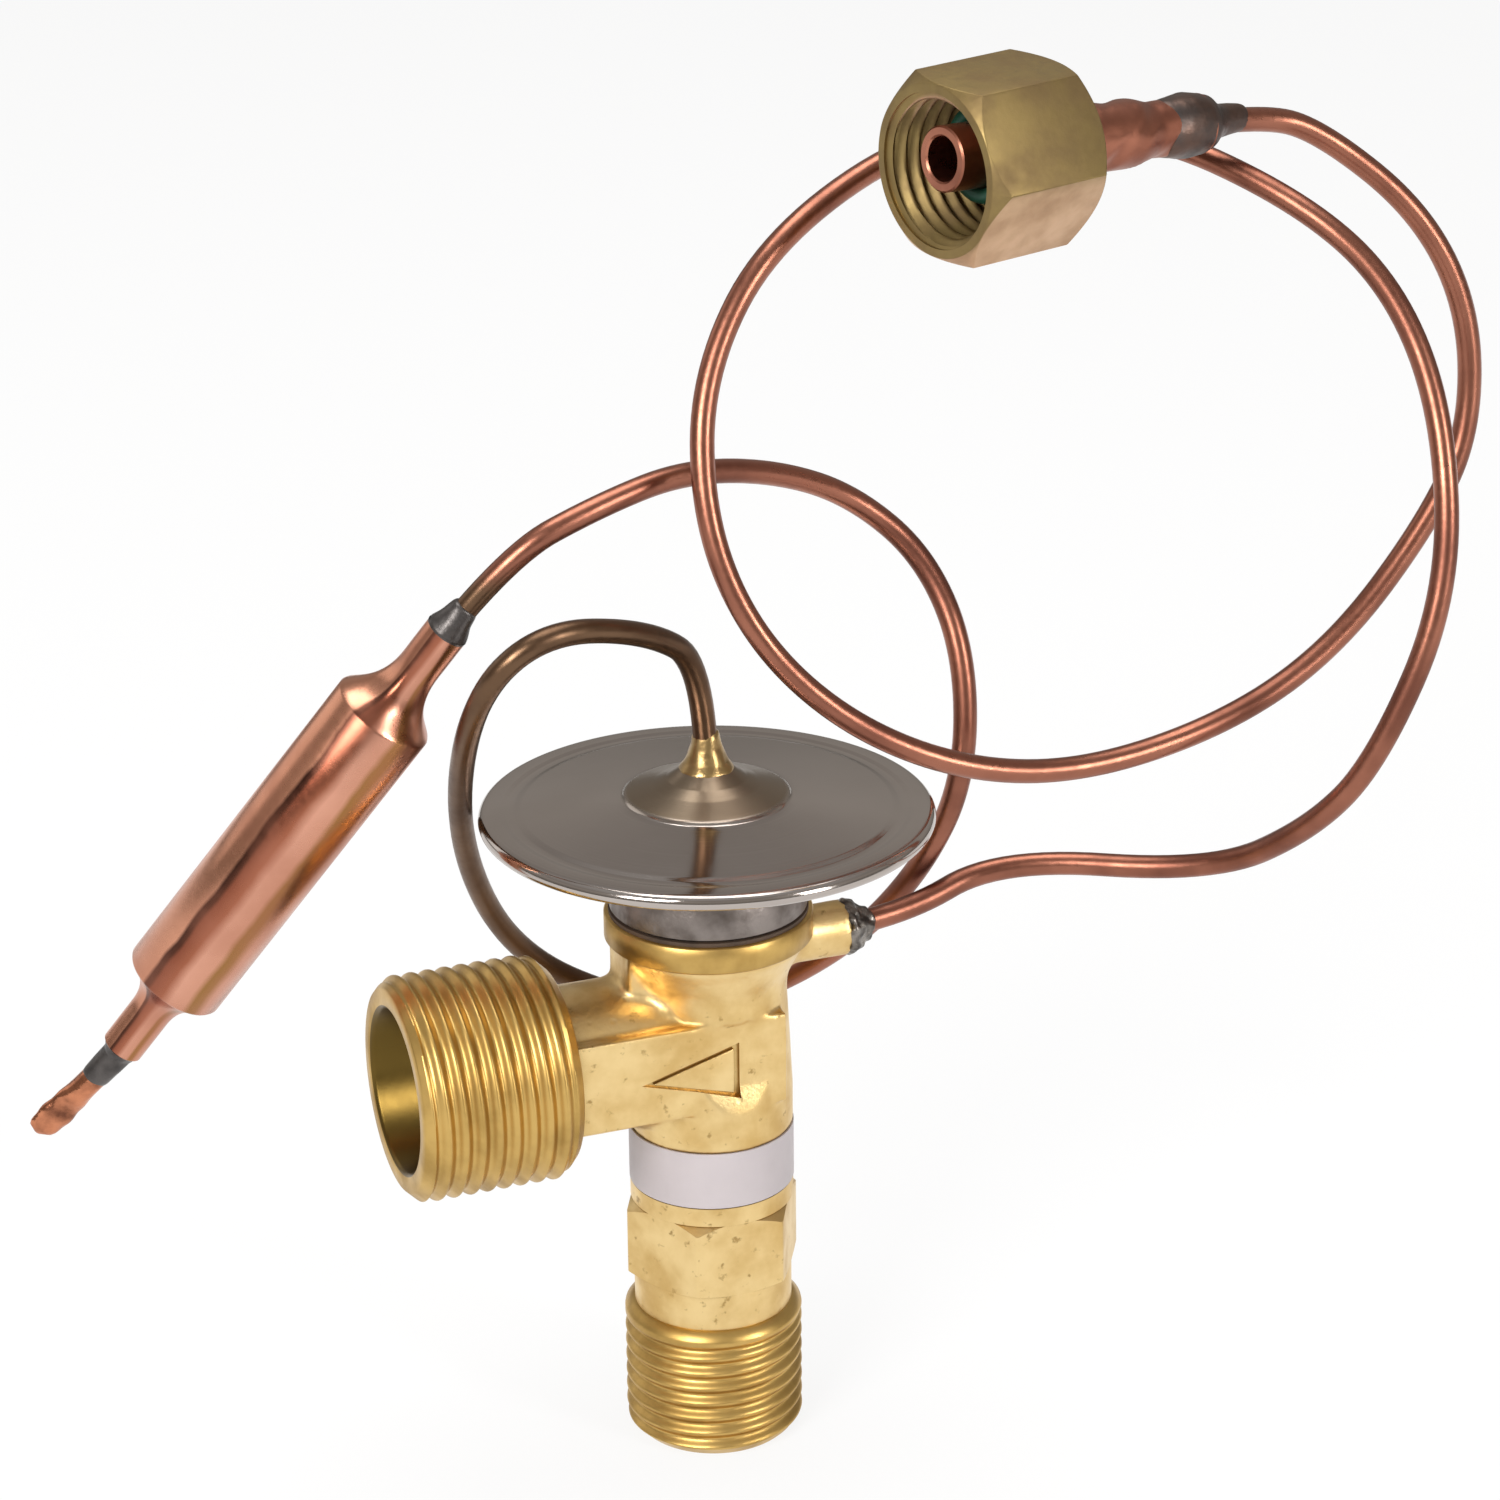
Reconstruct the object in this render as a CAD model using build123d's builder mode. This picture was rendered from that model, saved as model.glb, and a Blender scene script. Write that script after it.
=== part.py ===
from build123d import *
from math import tan, radians, cos, sin, pi
import os

# Thermostatic expansion valve with a power head, a sensing bulb and an equaliser line.
# Millimetres. The origin is the centre of the inlet's end face, +Z runs up the stem,
# and the outlet points along -X.

os.makedirs("parts", exist_ok=True)

# Inlet, at the foot of the stem
inlet_thread_r = 7.95
inlet_thread_length = 11.6
end_chamfer = 1.0
inlet_shoulder = 0.9
inlet_mouth_r = 6.4
inlet_mouth_depth = 4.0
inlet_bore_r = 6.2
inlet_bore_depth = 9.6

# Stem
neck_r = 7.25
hex_flats = 14.0
hex_gap = 3.4
hex_height = 7.1
band_gap = 1.8
band_height = 5.3
band_groove = 0.12
band_proud = 0.06

# Outlet arm, its port, and the flat cheeks of the forging
arm_gap = 3.7
outlet_thread_r = 9.85
outlet_reach = 28.8
outlet_thread_length = 13.2
outlet_back_chamfer = 1.2
outlet_bore_r = 7.1
outlet_bore_depth = 12.2
outlet_cone = 2.6
outlet_passage_r = 3.6
seat_ledge = 0.4
arm_r = 6.7
cheek_half_width = 6.4
cheek_height = 8.4
cheek_end = 4.8
cheek_edge = 0.35
arrow_length = 8.0
arrow_width = 4.6
arrow_rise = 0.3
arrow_tail = 0.0
arrow_drop = 0.4

# Shoulders and collar that carry the power head
shoulder_r = 6.8
collar_r = 9.1
shoulder_height = 5.8
collar_height = 2.45
collar_ledge = 0.5
collar_flare = 3.4
collar_lip = 0.6
socket_r = 7.45
socket_depth = 3.45
chamber_r = 5.5
chamber_depth = 1.8

# Equaliser boss
boss_r = 2.45
boss_drop = 4.05
boss_reach = 12.6
boss_root = 6.0
boss_hole_r = 0.6
boss_hole_overlap = 0.5
boss_socket_depth = 2.6

# Running and slip clearances
slip = 0.05
hair = 0.02

# Push rod and its gland
rod_r = 1.3
rod_clearance = 0.05
gland_depth = 2.3
gland_r = 2.5
rod_seal_cord = 1.1
gland_bush_height = 1.4

# Orifice, ball, carrier and spring
seat_drop = 4.0
seat_height = 3.0
seat_r = 4.0
orifice_r = 1.7
ball_r = 2.2
ball_lift_gap = 0.15
seat_cone = 0.4
carrier_r = 3.6
carrier_height = 3.0
carrier_cup = 0.9
carrier_pilot_r = 2.1
carrier_pilot = 2.0
spring_chamber_r = 5.2
spring_wire = 0.9
spring_r = 3.1
spring_turns = 6
spring_seat_r = 4.6
spring_seat_height = 1.2
spring_seat_hole_r = 1.0

# Adjusting nut
adjuster_thread_r = 5.5
adjuster_gap = 1.4
adjuster_headroom = 4.0
adjuster_height = 4.0
adjuster_socket = 4.0
adjuster_socket_depth = 2.6
adjuster_flow_r = 0.8
adjuster_flow_ring = 3.8

# Inlet strainer and its snap ring
strainer_rim = 0.6
strainer_top_r = 2.4
strainer_height = 4.4
strainer_wall = 0.4
strainer_hole_r = 0.5
snap_ring_width = 0.9
snap_ring_height = 0.6

# Power head
gasket_height = 0.35
gasket_r = 8.7
head_neck_r = 8.6
head_neck_height = 3.8
head_spigot = 3.2
head_spigot_bore_r = 3.0
head_bore_r = 6.4
head_floor = 1.0
cover_wall = 0.8
head_r = 19.7
dish_rise = 4.55
rim_half = 0.7
rim_flat = 2.2
dish_inner_r = 9.4
diaphragm_thickness = 0.2
diaphragm_inset = 1.1
crown_r = 7.2
crown_top_r = 2.7
crown_lift = 1.1
crown_top_rise = 4.45
groove_inset = 2.7
groove_depth = 0.25
head_gap = 0.15
buffer_r = 11.5
buffer_height = 1.2
buffer_hub_r = 2.8
buffer_hub = 2.4
nipple_r = 2.8
nipple_top_r = 1.45
nipple_height = 2.1
nipple_wrap = 0.25

# Capillary tubes, one size for both
tube_r = 1.05
tube_bore_r = 0.4

# The sensing tube's route, from the nipple round the head to the bulb
sensing_root = 1.2
sensing_points = [
    (0, 0, 73),
    (-6.5, -3.5, 78),
    (-17, -7.5, 80.7),
    (-22.6, -5, 74.2),
    (-19.4, 10.8, 55.5),
    (-12.3, 18, 40.5),
    (-1, 16.5, 34),
    (7, 13.5, 34),
    (16, 8.5, 40),
    (21.3, 3.3, 48.8),
    (23.8, -1, 59),
    (24.8, 1.6, 70),
    (23, 6.5, 77.5),
    (17, 8.5, 83.2),
    (9, 6.5, 87),
    (-0.5, 3, 89.2),
    (-9, 0.5, 88),
    (-17.5, -0.1, 84.8),
]
bulb_direction = Vector(-0.532, 0.288, -0.796).normalized()
sensing_tail = 8.25

# The equaliser line's route, from the boss to the nut's fitting tube
equaliser_points = [
    (18, 0, 46.4),
    (28.5, 2.2, 49.6),
    (44.5, -8.5, 49.8),
    (48.5, -19, 57.5),
    (52.1, -23.2, 64.8),
    (57.6, -24.1, 79),
    (59.5, -18.5, 93),
    (57.5, -12.5, 103),
    (51.5, -6.5, 109.5),
    (43, 7, 113.7),
    (25.5, 9.5, 115),
    (7.6, 3, 108.8),
    (0, 0, 98.5),
    (-1.5, -4, 87),
    (1.5, -7.5, 77.5),
    (8.8, -10, 69.7),
    (19.4, -11, 64.2),
    (31.5, -10, 62),
    (45.5, -9.5, 64.5),
    (56.1, -8.5, 69.8),
    (65, -7.5, 79.5),
    (69.3, -6.5, 87),
    (69.5, -5, 97.5),
    (65, -3.5, 106.5),
    (56.4, -1, 113.7),
]
equaliser_inset = 2.3
solder_length = 2.7

# Bulb
bulb_r = 4.45
bulb_neck_r = 1.85
bulb_top_neck = 3.75
bulb_top_cone = 5.65
bulb_length = 32.15
bulb_bottom_cone = 4.1
bulb_bottom_neck = 4.5
bulb_socket_depth = 3.0
bulb_solder_length = 2.9
charge_tube_r = 1.15
charge_tube_length = 11.7
charge_stub = 1.3
charge_lean = 7.5
charge_solder_length = 1.2
charge_solder_wall = 0.2
pinch_length = 6.0
pinch_thickness = 1.3
pinch_width = 2.9

# Nut and fitting tube at the far end of the equaliser line
nut_mouth = (16.2, -10.6, 116.3)
nut_azimuth = 16.5
nut_rise = 1.5
nut_flats = 14.4
nut_length = 12.1
nut_end_chamfer = 1.1
nut_thread_r = 6.0
nut_thread_depth = 8.0
nut_cone = 2.4
nut_back_hole_r = 3.25
nut_corner_turn = 35.0
fitting_lean = -2.6
fitting_lift = 0.9
fitting_r = 2.7
fitting_bore_r = 1.85
fitting_mouth = 0.7
fitting_bead_at = 5.6
fitting_bead = 1.5
fitting_bead_r = 3.9
fitting_swell_r = 2.9
fitting_swell_end = 21.0
fitting_waist_r = 2.35
fitting_waist_at = 23.2
fitting_end_r = 2.4
fitting_end = 29.6
fitting_taper = 0.9
fitting_bore_end = 24.5
fitting_grip = 3.0
fitting_solder_wall = 0.25
fitting_solder_length = 4.2
fitting_seal_cord = 1.35

# Working sizes that follow from the ones above
hex_corner_r = hex_flats / 2 / cos(radians(30))
neck_foot = inlet_thread_length + inlet_shoulder
hex_foot = neck_foot + hex_gap
hex_top = hex_foot + hex_height
band_foot = hex_top + band_gap
band_top = band_foot + band_height
cheek_foot = band_top + arm_gap
cheek_top = cheek_foot + cheek_height
outlet_height = cheek_foot + cheek_height / 2
arrow_height = outlet_height - arrow_drop
collar_foot = cheek_top + shoulder_height
collar_top = collar_foot + collar_height
boss_height = collar_top - boss_drop
socket_floor = collar_top - socket_depth
chamber_floor = socket_floor - chamber_depth
gland_floor = chamber_floor - gland_depth
port_back = outlet_reach - end_chamfer - outlet_thread_length
seat_top = outlet_height - seat_drop
seat_foot = seat_top - seat_height
strainer_foot = inlet_mouth_depth + snap_ring_height
gasket_top = collar_top + gasket_height
neck_top = gasket_top + head_neck_height
rim_height = neck_top + dish_rise
rim_top = rim_height + rim_half
rim_foot = rim_height - rim_half
diaphragm_top = rim_height + diaphragm_thickness / 2
diaphragm_foot = rim_height - diaphragm_thickness / 2
diaphragm_r = head_r - diaphragm_inset
groove_r = head_r - groove_inset
crown_foot_z = rim_top + 0.1
crown_edge_z = crown_foot_z + crown_lift
crown_top_z = rim_height + crown_top_rise
seat_line = seat_foot + seat_cone
ball_height = seat_line - (ball_r**2 - orifice_r**2) ** 0.5 - ball_lift_gap
rod_foot = ball_height + ball_r
buffer_top = diaphragm_foot
rod_top = buffer_top - buffer_height - buffer_hub
carrier_top = ball_height - carrier_cup
carrier_foot = carrier_top - carrier_height
adjuster_foot = inlet_bore_depth + adjuster_gap
adjuster_top = adjuster_foot + adjuster_height
adjuster_thread_top = adjuster_top + adjuster_headroom
spring_foot = adjuster_top + spring_seat_height
spring_height = carrier_foot - spring_foot


def corner_radii(points):
    """One radius for each corner: 0.45 of the shorter run over the tangent of half the turn."""
    radii = []
    for before, corner, after in zip(points, points[1:], points[2:]):
        run_in = Vector(*corner) - Vector(*before)
        run_out = Vector(*after) - Vector(*corner)
        half_turn = radians(run_in.get_angle(run_out)) / 2
        radii.append(0.45 * min(run_in.length, run_out.length) / tan(half_turn))
    return radii


# Valve body: one brass forging, bored and threaded
with BuildPart() as valve_body:
    # Stem, shoulders and collar as one turned outline
    with BuildSketch(Plane.XZ):
        with BuildLine():
            Polyline(
                (0, 0),
                (inlet_thread_r - end_chamfer, 0),
                (inlet_thread_r, end_chamfer),
                (inlet_thread_r, inlet_thread_length),
                (neck_r, neck_foot),
                (neck_r, hex_foot),
                (hex_flats / 2, hex_foot),
                (hex_flats / 2, hex_top),
                (neck_r, hex_top),
                (neck_r, band_foot),
                (neck_r - band_groove, band_foot),
                (neck_r - band_groove, band_top),
                (neck_r, band_top),
                (neck_r, cheek_foot),
                (shoulder_r, cheek_top),
                (shoulder_r, collar_foot - collar_lip - collar_flare),
                (collar_r - collar_ledge, collar_foot - collar_lip),
                (collar_r - collar_ledge, collar_foot),
                (collar_r, collar_foot),
                (collar_r, collar_top),
                (0, collar_top),
                (0, 0),
            )
        make_face()
    revolve(axis=Axis.Z)
    # Wrench flats on the lower neck
    with BuildSketch(Plane.XY.offset(hex_foot)):
        RegularPolygon(hex_corner_r, 6)
    extrude(amount=hex_height)
    # Outlet arm and its round port
    with BuildSketch(Plane.XZ):
        with BuildLine():
            Polyline(
                (0, outlet_height),
                (0, outlet_height + arm_r),
                (-port_back, outlet_height + arm_r),
                (-port_back, outlet_height + outlet_thread_r - outlet_back_chamfer),
                (-port_back - outlet_back_chamfer, outlet_height + outlet_thread_r),
                (-outlet_reach + end_chamfer, outlet_height + outlet_thread_r),
                (-outlet_reach, outlet_height + outlet_thread_r - end_chamfer),
                (-outlet_reach, outlet_height),
                (0, outlet_height),
            )
        make_face()
    revolve(axis=Axis((0, 0, outlet_height), (1, 0, 0)))
    # Flat cheeks of the forging
    with BuildSketch(Plane.XZ.offset(-cheek_half_width)):
        with Locations(((cheek_end - port_back) / 2, outlet_height)):
            RectangleRounded(port_back + cheek_end, cheek_height, cheek_edge)
    extrude(amount=2 * cheek_half_width)
    # Flow arrow, raised on the front cheek
    with BuildSketch(Plane.XZ.offset(cheek_half_width)):
        with BuildLine():
            Polyline(
                (arrow_tail - arrow_length, arrow_height),
                (arrow_tail, arrow_height - arrow_width / 2),
                (arrow_tail, arrow_height + arrow_width / 2),
                close=True,
            )
        make_face()
    extrude(amount=arrow_rise)
    # Equaliser boss, opposite the outlet
    with BuildSketch(Plane.YZ.offset(boss_root)):
        with Locations((0, boss_height)):
            Circle(boss_r)
    extrude(amount=boss_reach - boss_root)
    # Outlet bore, its cone and the passage to the valve seat
    with BuildSketch(Plane.XZ):
        with BuildLine():
            Polyline(
                (0, outlet_height),
                (0, outlet_height + outlet_passage_r),
                (-outlet_reach + outlet_bore_depth + outlet_cone, outlet_height + outlet_passage_r),
                (-outlet_reach + outlet_bore_depth, outlet_height + outlet_bore_r),
                (-outlet_reach, outlet_height + outlet_bore_r),
                (-outlet_reach, outlet_height),
                (0, outlet_height),
            )
        make_face()
    revolve(axis=Axis((0, 0, outlet_height), (1, 0, 0)), mode=Mode.SUBTRACT)
    # Stepped bore up the stem
    with BuildSketch(Plane.XZ):
        with BuildLine():
            Polyline(
                (0, 0),
                (inlet_mouth_r, 0),
                (inlet_mouth_r, inlet_mouth_depth),
                (inlet_bore_r, inlet_mouth_depth),
                (inlet_bore_r, inlet_bore_depth),
                (adjuster_thread_r, inlet_bore_depth),
                (adjuster_thread_r, adjuster_thread_top),
                (spring_chamber_r, adjuster_thread_top),
                (spring_chamber_r, seat_foot),
                (seat_r, seat_foot),
                (seat_r, seat_top),
                (outlet_passage_r - seat_ledge, seat_top),
                (outlet_passage_r - seat_ledge, outlet_height),
                (0, outlet_height),
                (0, 0),
            )
        make_face()
    revolve(axis=Axis.Z, mode=Mode.SUBTRACT)
    # Rod hole, gland pocket, chamber under the diaphragm and the head's socket
    with BuildSketch(Plane.XZ):
        with BuildLine():
            Polyline(
                (0, outlet_height),
                (rod_r + rod_clearance, outlet_height),
                (rod_r + rod_clearance, gland_floor),
                (gland_r, gland_floor),
                (gland_r, chamber_floor),
                (chamber_r, chamber_floor),
                (chamber_r, socket_floor),
                (socket_r, socket_floor),
                (socket_r, collar_top),
                (0, collar_top),
                (0, outlet_height),
            )
        make_face()
    revolve(axis=Axis.Z, mode=Mode.SUBTRACT)
    # Equaliser passage and the socket for its tube
    with BuildSketch(Plane.YZ.offset(chamber_r - boss_hole_overlap)):
        with Locations((0, boss_height)):
            Circle(boss_hole_r)
    extrude(amount=boss_reach - chamber_r + boss_hole_overlap, mode=Mode.SUBTRACT)
    with BuildSketch(Plane.YZ.offset(boss_reach - boss_socket_depth)):
        with Locations((0, boss_height)):
            Circle(tube_r + slip)
    extrude(amount=boss_socket_depth, mode=Mode.SUBTRACT)
valve_body.part.label = "valve_body"
export_step(valve_body.part, "parts/valve_body.step")

# Painted band round the neck
with BuildPart() as colour_band:
    with BuildSketch(Plane.XY.offset(band_foot + hair)):
        Circle(neck_r + band_proud)
        Circle(neck_r - band_groove, mode=Mode.SUBTRACT)
    extrude(amount=band_height - 2 * hair)
colour_band.part.label = "colour_band"
export_step(colour_band.part, "parts/colour_band.step")

# Brass orifice, pressed into the seat bore
with BuildPart() as orifice_insert:
    with BuildSketch(Plane.XZ):
        with BuildLine():
            Polyline(
                (orifice_r, seat_top),
                (seat_r - hair, seat_top),
                (seat_r - hair, seat_foot),
                (orifice_r + seat_cone, seat_foot),
                (orifice_r, seat_line),
                close=True,
            )
        make_face()
    revolve(axis=Axis.Z)
orifice_insert.part.label = "orifice_insert"
export_step(orifice_insert.part, "parts/orifice_insert.step")

# Steel push rod
with BuildPart() as push_rod:
    with BuildSketch(Plane.XY.offset(rod_foot)):
        Circle(rod_r)
    extrude(amount=rod_top - rod_foot)
    chamfer(push_rod.edges().filter_by(GeomType.CIRCLE), 0.2)
push_rod.part.label = "push_rod"
export_step(push_rod.part, "parts/push_rod.step")

# Seal ring round the rod
rod_seal_r = (rod_r + gland_r) / 2 + rod_clearance / 2
with BuildPart() as rod_seal:
    with BuildSketch(Plane.XZ):
        with Locations((rod_seal_r, gland_floor + rod_seal_cord / 2)):
            Circle(rod_seal_cord / 2)
    revolve(axis=Axis.Z)
rod_seal.part.label = "rod_seal"
export_step(rod_seal.part, "parts/rod_seal.step")

# Gland bush that keeps the seal in its pocket
with BuildPart() as gland_bush:
    with BuildSketch(Plane.XY.offset(gland_floor + rod_seal_cord + hair)):
        Circle(gland_r - hair)
        Circle(rod_r + rod_clearance, mode=Mode.SUBTRACT)
    extrude(amount=gland_bush_height)
gland_bush.part.label = "gland_bush"
export_step(gland_bush.part, "parts/gland_bush.step")

# Steel ball that closes the orifice from below
with BuildPart() as valve_ball:
    with Locations((0, 0, ball_height)):
        Sphere(ball_r)
valve_ball.part.label = "valve_ball"
export_step(valve_ball.part, "parts/valve_ball.step")

# Ball carrier, cupped on top and piloted into the spring
with BuildPart() as ball_carrier:
    with BuildSketch(Plane.XY.offset(carrier_foot)):
        Circle(carrier_r)
    extrude(amount=carrier_height)
    with BuildSketch(Plane.XY.offset(carrier_foot - carrier_pilot)):
        Circle(carrier_pilot_r)
    extrude(amount=carrier_pilot)
    with Locations((0, 0, ball_height)):
        Sphere(ball_r + hair, mode=Mode.SUBTRACT)
ball_carrier.part.label = "ball_carrier"
export_step(ball_carrier.part, "parts/ball_carrier.step")

# Superheat spring, a round wire coil
spring_rise = spring_height - spring_wire
with BuildPart() as superheat_spring:
    with BuildLine(Plane.XY.offset(spring_foot + spring_wire / 2)):
        coil = Helix(pitch=spring_rise / spring_turns, height=spring_rise, radius=spring_r)
    with BuildSketch(Plane(origin=coil @ 0, z_dir=coil % 0)):
        Circle(spring_wire / 2)
    sweep(path=coil)
superheat_spring.part.label = "superheat_spring"
export_step(superheat_spring.part, "parts/superheat_spring.step")

# Spring seat that rides on the adjusting nut
with BuildPart() as spring_seat:
    with BuildSketch(Plane.XY.offset(adjuster_top)):
        Circle(spring_seat_r)
    extrude(amount=spring_seat_height)
    with BuildSketch(Plane.XY.offset(spring_foot)):
        Circle(carrier_pilot_r)
    extrude(amount=carrier_pilot)
    with BuildSketch(Plane.XY.offset(adjuster_top)):
        Circle(spring_seat_hole_r)
    extrude(amount=spring_seat_height + carrier_pilot, mode=Mode.SUBTRACT)
spring_seat.part.label = "spring_seat"
export_step(spring_seat.part, "parts/spring_seat.step")

# Adjusting nut, threaded outside, with a key socket and flow holes
with BuildPart() as adjusting_nut:
    with BuildSketch(Plane.XY.offset(adjuster_foot)):
        Circle(adjuster_thread_r - slip)
        with PolarLocations(adjuster_flow_ring, 6):
            Circle(adjuster_flow_r, mode=Mode.SUBTRACT)
    extrude(amount=adjuster_height)
    with BuildSketch(Plane.XY.offset(adjuster_foot)):
        RegularPolygon(adjuster_socket / 2, 6, major_radius=False)
    extrude(amount=adjuster_socket_depth, mode=Mode.SUBTRACT)
    with BuildSketch(Plane.XY.offset(adjuster_foot)):
        Circle(spring_seat_hole_r)
    extrude(amount=adjuster_height, mode=Mode.SUBTRACT)
adjusting_nut.part.label = "adjusting_nut"
export_step(adjusting_nut.part, "parts/adjusting_nut.step")

# Conical strainer cup in the inlet, with rows of holes
strainer_cone_foot = strainer_foot + strainer_rim
with BuildPart() as inlet_strainer:
    with BuildSketch(Plane.XZ):
        with BuildLine():
            Polyline(
                (inlet_bore_r - slip, strainer_foot),
                (inlet_bore_r - slip, strainer_cone_foot),
                (inlet_bore_r - slip - strainer_rim, strainer_cone_foot),
                (strainer_top_r, strainer_foot + strainer_height),
                (0, strainer_foot + strainer_height),
                (0, strainer_foot + strainer_height - strainer_wall),
                (strainer_top_r - strainer_wall / 2, strainer_foot + strainer_height - strainer_wall),
                (inlet_bore_r - slip - strainer_rim - strainer_wall, strainer_foot),
                close=True,
            )
        make_face()
    revolve(axis=Axis.Z)
    with BuildSketch(Plane.XY.offset(strainer_foot)):
        with PolarLocations(strainer_top_r + 0.9, 12):
            Circle(strainer_hole_r)
        with PolarLocations(strainer_top_r + 2.1, 18):
            Circle(strainer_hole_r)
        with PolarLocations(strainer_top_r - 1.0, 6):
            Circle(strainer_hole_r)
    extrude(amount=strainer_height, mode=Mode.SUBTRACT)
inlet_strainer.part.label = "inlet_strainer"
export_step(inlet_strainer.part, "parts/inlet_strainer.step")

# Split snap ring under the strainer
with BuildPart() as strainer_ring:
    with BuildSketch(Plane.XY.offset(strainer_foot - snap_ring_height)):
        Circle(inlet_bore_r - slip)
        Circle(inlet_bore_r - snap_ring_width, mode=Mode.SUBTRACT)
        with Locations((0, inlet_bore_r)):
            Rectangle(1.6, 2 * snap_ring_width + 1.0, mode=Mode.SUBTRACT)
    extrude(amount=snap_ring_height)
strainer_ring.part.label = "strainer_ring"
export_step(strainer_ring.part, "parts/strainer_ring.step")

# Gasket between the collar and the head's neck
with BuildPart() as head_gasket:
    with BuildSketch(Plane.XY.offset(collar_top)):
        Circle(gasket_r)
        Circle(socket_r, mode=Mode.SUBTRACT)
    extrude(amount=gasket_height)
head_gasket.part.label = "head_gasket"
export_step(head_gasket.part, "parts/head_gasket.step")

# Steel neck of the power head: spigot below, cup above
with BuildPart() as head_neck:
    with BuildSketch(Plane.XZ):
        with BuildLine():
            Polyline(
                (head_spigot_bore_r, gasket_top - head_spigot),
                (socket_r - slip, gasket_top - head_spigot),
                (socket_r - slip, gasket_top),
                (head_neck_r, gasket_top),
                (head_neck_r, neck_top),
                (head_bore_r, neck_top),
                (head_bore_r, gasket_top + head_floor),
                (head_spigot_bore_r, gasket_top + head_floor),
                close=True,
            )
        make_face()
    revolve(axis=Axis.Z)
head_neck.part.label = "head_neck"
export_step(head_neck.part, "parts/head_neck.step")

# Lower cover, a stamped dish welded to the neck
rim_inner_r = head_r - rim_flat
with BuildPart() as lower_cover:
    with BuildSketch(Plane.XZ):
        with BuildLine():
            Polyline(
                (head_bore_r, neck_top),
                (dish_inner_r, neck_top),
                (rim_inner_r, rim_foot),
                (head_r - rim_half, rim_foot),
            )
            ThreePointArc(
                (head_r - rim_half, rim_foot),
                (head_r - 0.3 * rim_half, rim_foot + 0.3 * rim_half),
                (head_r - 0.05, diaphragm_foot),
            )
            Polyline(
                (head_r - 0.05, diaphragm_foot),
                (rim_inner_r - 0.4, diaphragm_foot),
                (dish_inner_r - 0.3, neck_top + cover_wall),
                (head_bore_r, neck_top + cover_wall),
                (head_bore_r, neck_top),
            )
        make_face()
    revolve(axis=Axis.Z)
lower_cover.part.label = "lower_cover"
export_step(lower_cover.part, "parts/lower_cover.step")

# Thin steel diaphragm, clamped at the rim
with BuildPart() as diaphragm:
    with BuildSketch(Plane.XY.offset(diaphragm_foot)):
        Circle(diaphragm_r)
    extrude(amount=diaphragm_thickness)
diaphragm.part.label = "diaphragm"
export_step(diaphragm.part, "parts/diaphragm.step")

# Upper cover: rolled rim, ring groove, shallow crown and a drawn cone in the middle
with BuildPart() as upper_cover:
    with BuildSketch(Plane.XZ):
        with BuildLine():
            Polyline(
                (tube_r + slip, crown_top_z - cover_wall),
                (tube_r + slip, crown_top_z),
                (crown_top_r, crown_top_z),
            )
            ThreePointArc(
                (crown_top_r, crown_top_z),
                ((crown_r + crown_top_r) / 2, 0.57 * crown_edge_z + 0.43 * crown_top_z),
                (crown_r, crown_edge_z),
            )
            Polyline(
                (crown_r, crown_edge_z),
                (groove_r - 0.8, crown_foot_z + 0.1),
                (groove_r, crown_foot_z + 0.1 - groove_depth),
                (groove_r + 0.7, crown_foot_z),
                (head_r - rim_half, rim_top),
            )
            ThreePointArc(
                (head_r - rim_half, rim_top),
                (head_r - 0.25 * rim_half, rim_top - 0.3 * rim_half),
                (head_r, diaphragm_top),
            )
            Polyline(
                (head_r, diaphragm_top),
                (rim_inner_r - 0.4, diaphragm_top),
                (rim_inner_r - 1.2, diaphragm_top + head_gap),
                (crown_r - 0.3, crown_edge_z - cover_wall),
                (crown_top_r + 0.3, crown_top_z - 1.6 * cover_wall),
                (tube_r + slip, crown_top_z - cover_wall),
            )
        make_face()
    revolve(axis=Axis.Z)
upper_cover.part.label = "upper_cover"
export_step(upper_cover.part, "parts/upper_cover.step")

# Buffer plate between the diaphragm and the rod
with BuildPart() as buffer_plate:
    with BuildSketch(Plane.XY.offset(buffer_top - buffer_height)):
        Circle(buffer_r)
    extrude(amount=buffer_height)
    with BuildSketch(Plane.XY.offset(rod_top)):
        Circle(buffer_hub_r)
    extrude(amount=buffer_hub)
buffer_plate.part.label = "buffer_plate"
export_step(buffer_plate.part, "parts/buffer_plate.step")

# Brazed brass nipple where the sensing tube enters the head
with BuildPart() as head_nipple:
    with BuildSketch(Plane.XZ):
        with BuildLine():
            Polyline(
                (tube_r + hair, crown_top_z),
                (nipple_r - nipple_wrap, crown_top_z),
                (nipple_r - nipple_wrap - 0.5, crown_top_z + 0.6),
                (nipple_top_r + 0.2, crown_top_z + nipple_height - 0.5),
                (nipple_top_r, crown_top_z + nipple_height),
                (tube_r + hair, crown_top_z + nipple_height),
                close=True,
            )
        make_face()
    revolve(axis=Axis.Z)
head_nipple.part.label = "head_nipple"
export_step(head_nipple.part, "parts/head_nipple.step")

# Bulb frame: z runs down the bulb from the end of its upper neck
bulb_neck_end = Vector(*sensing_points[-1]) + bulb_direction * sensing_tail
bulb_plane = Plane(origin=bulb_neck_end, x_dir=(0.22, 0.97, 0.11), z_dir=bulb_direction)
bulb_shoulder = bulb_top_neck + bulb_top_cone
bulb_foot = bulb_shoulder + bulb_length
bulb_end = bulb_foot + bulb_bottom_cone + bulb_bottom_neck

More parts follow.
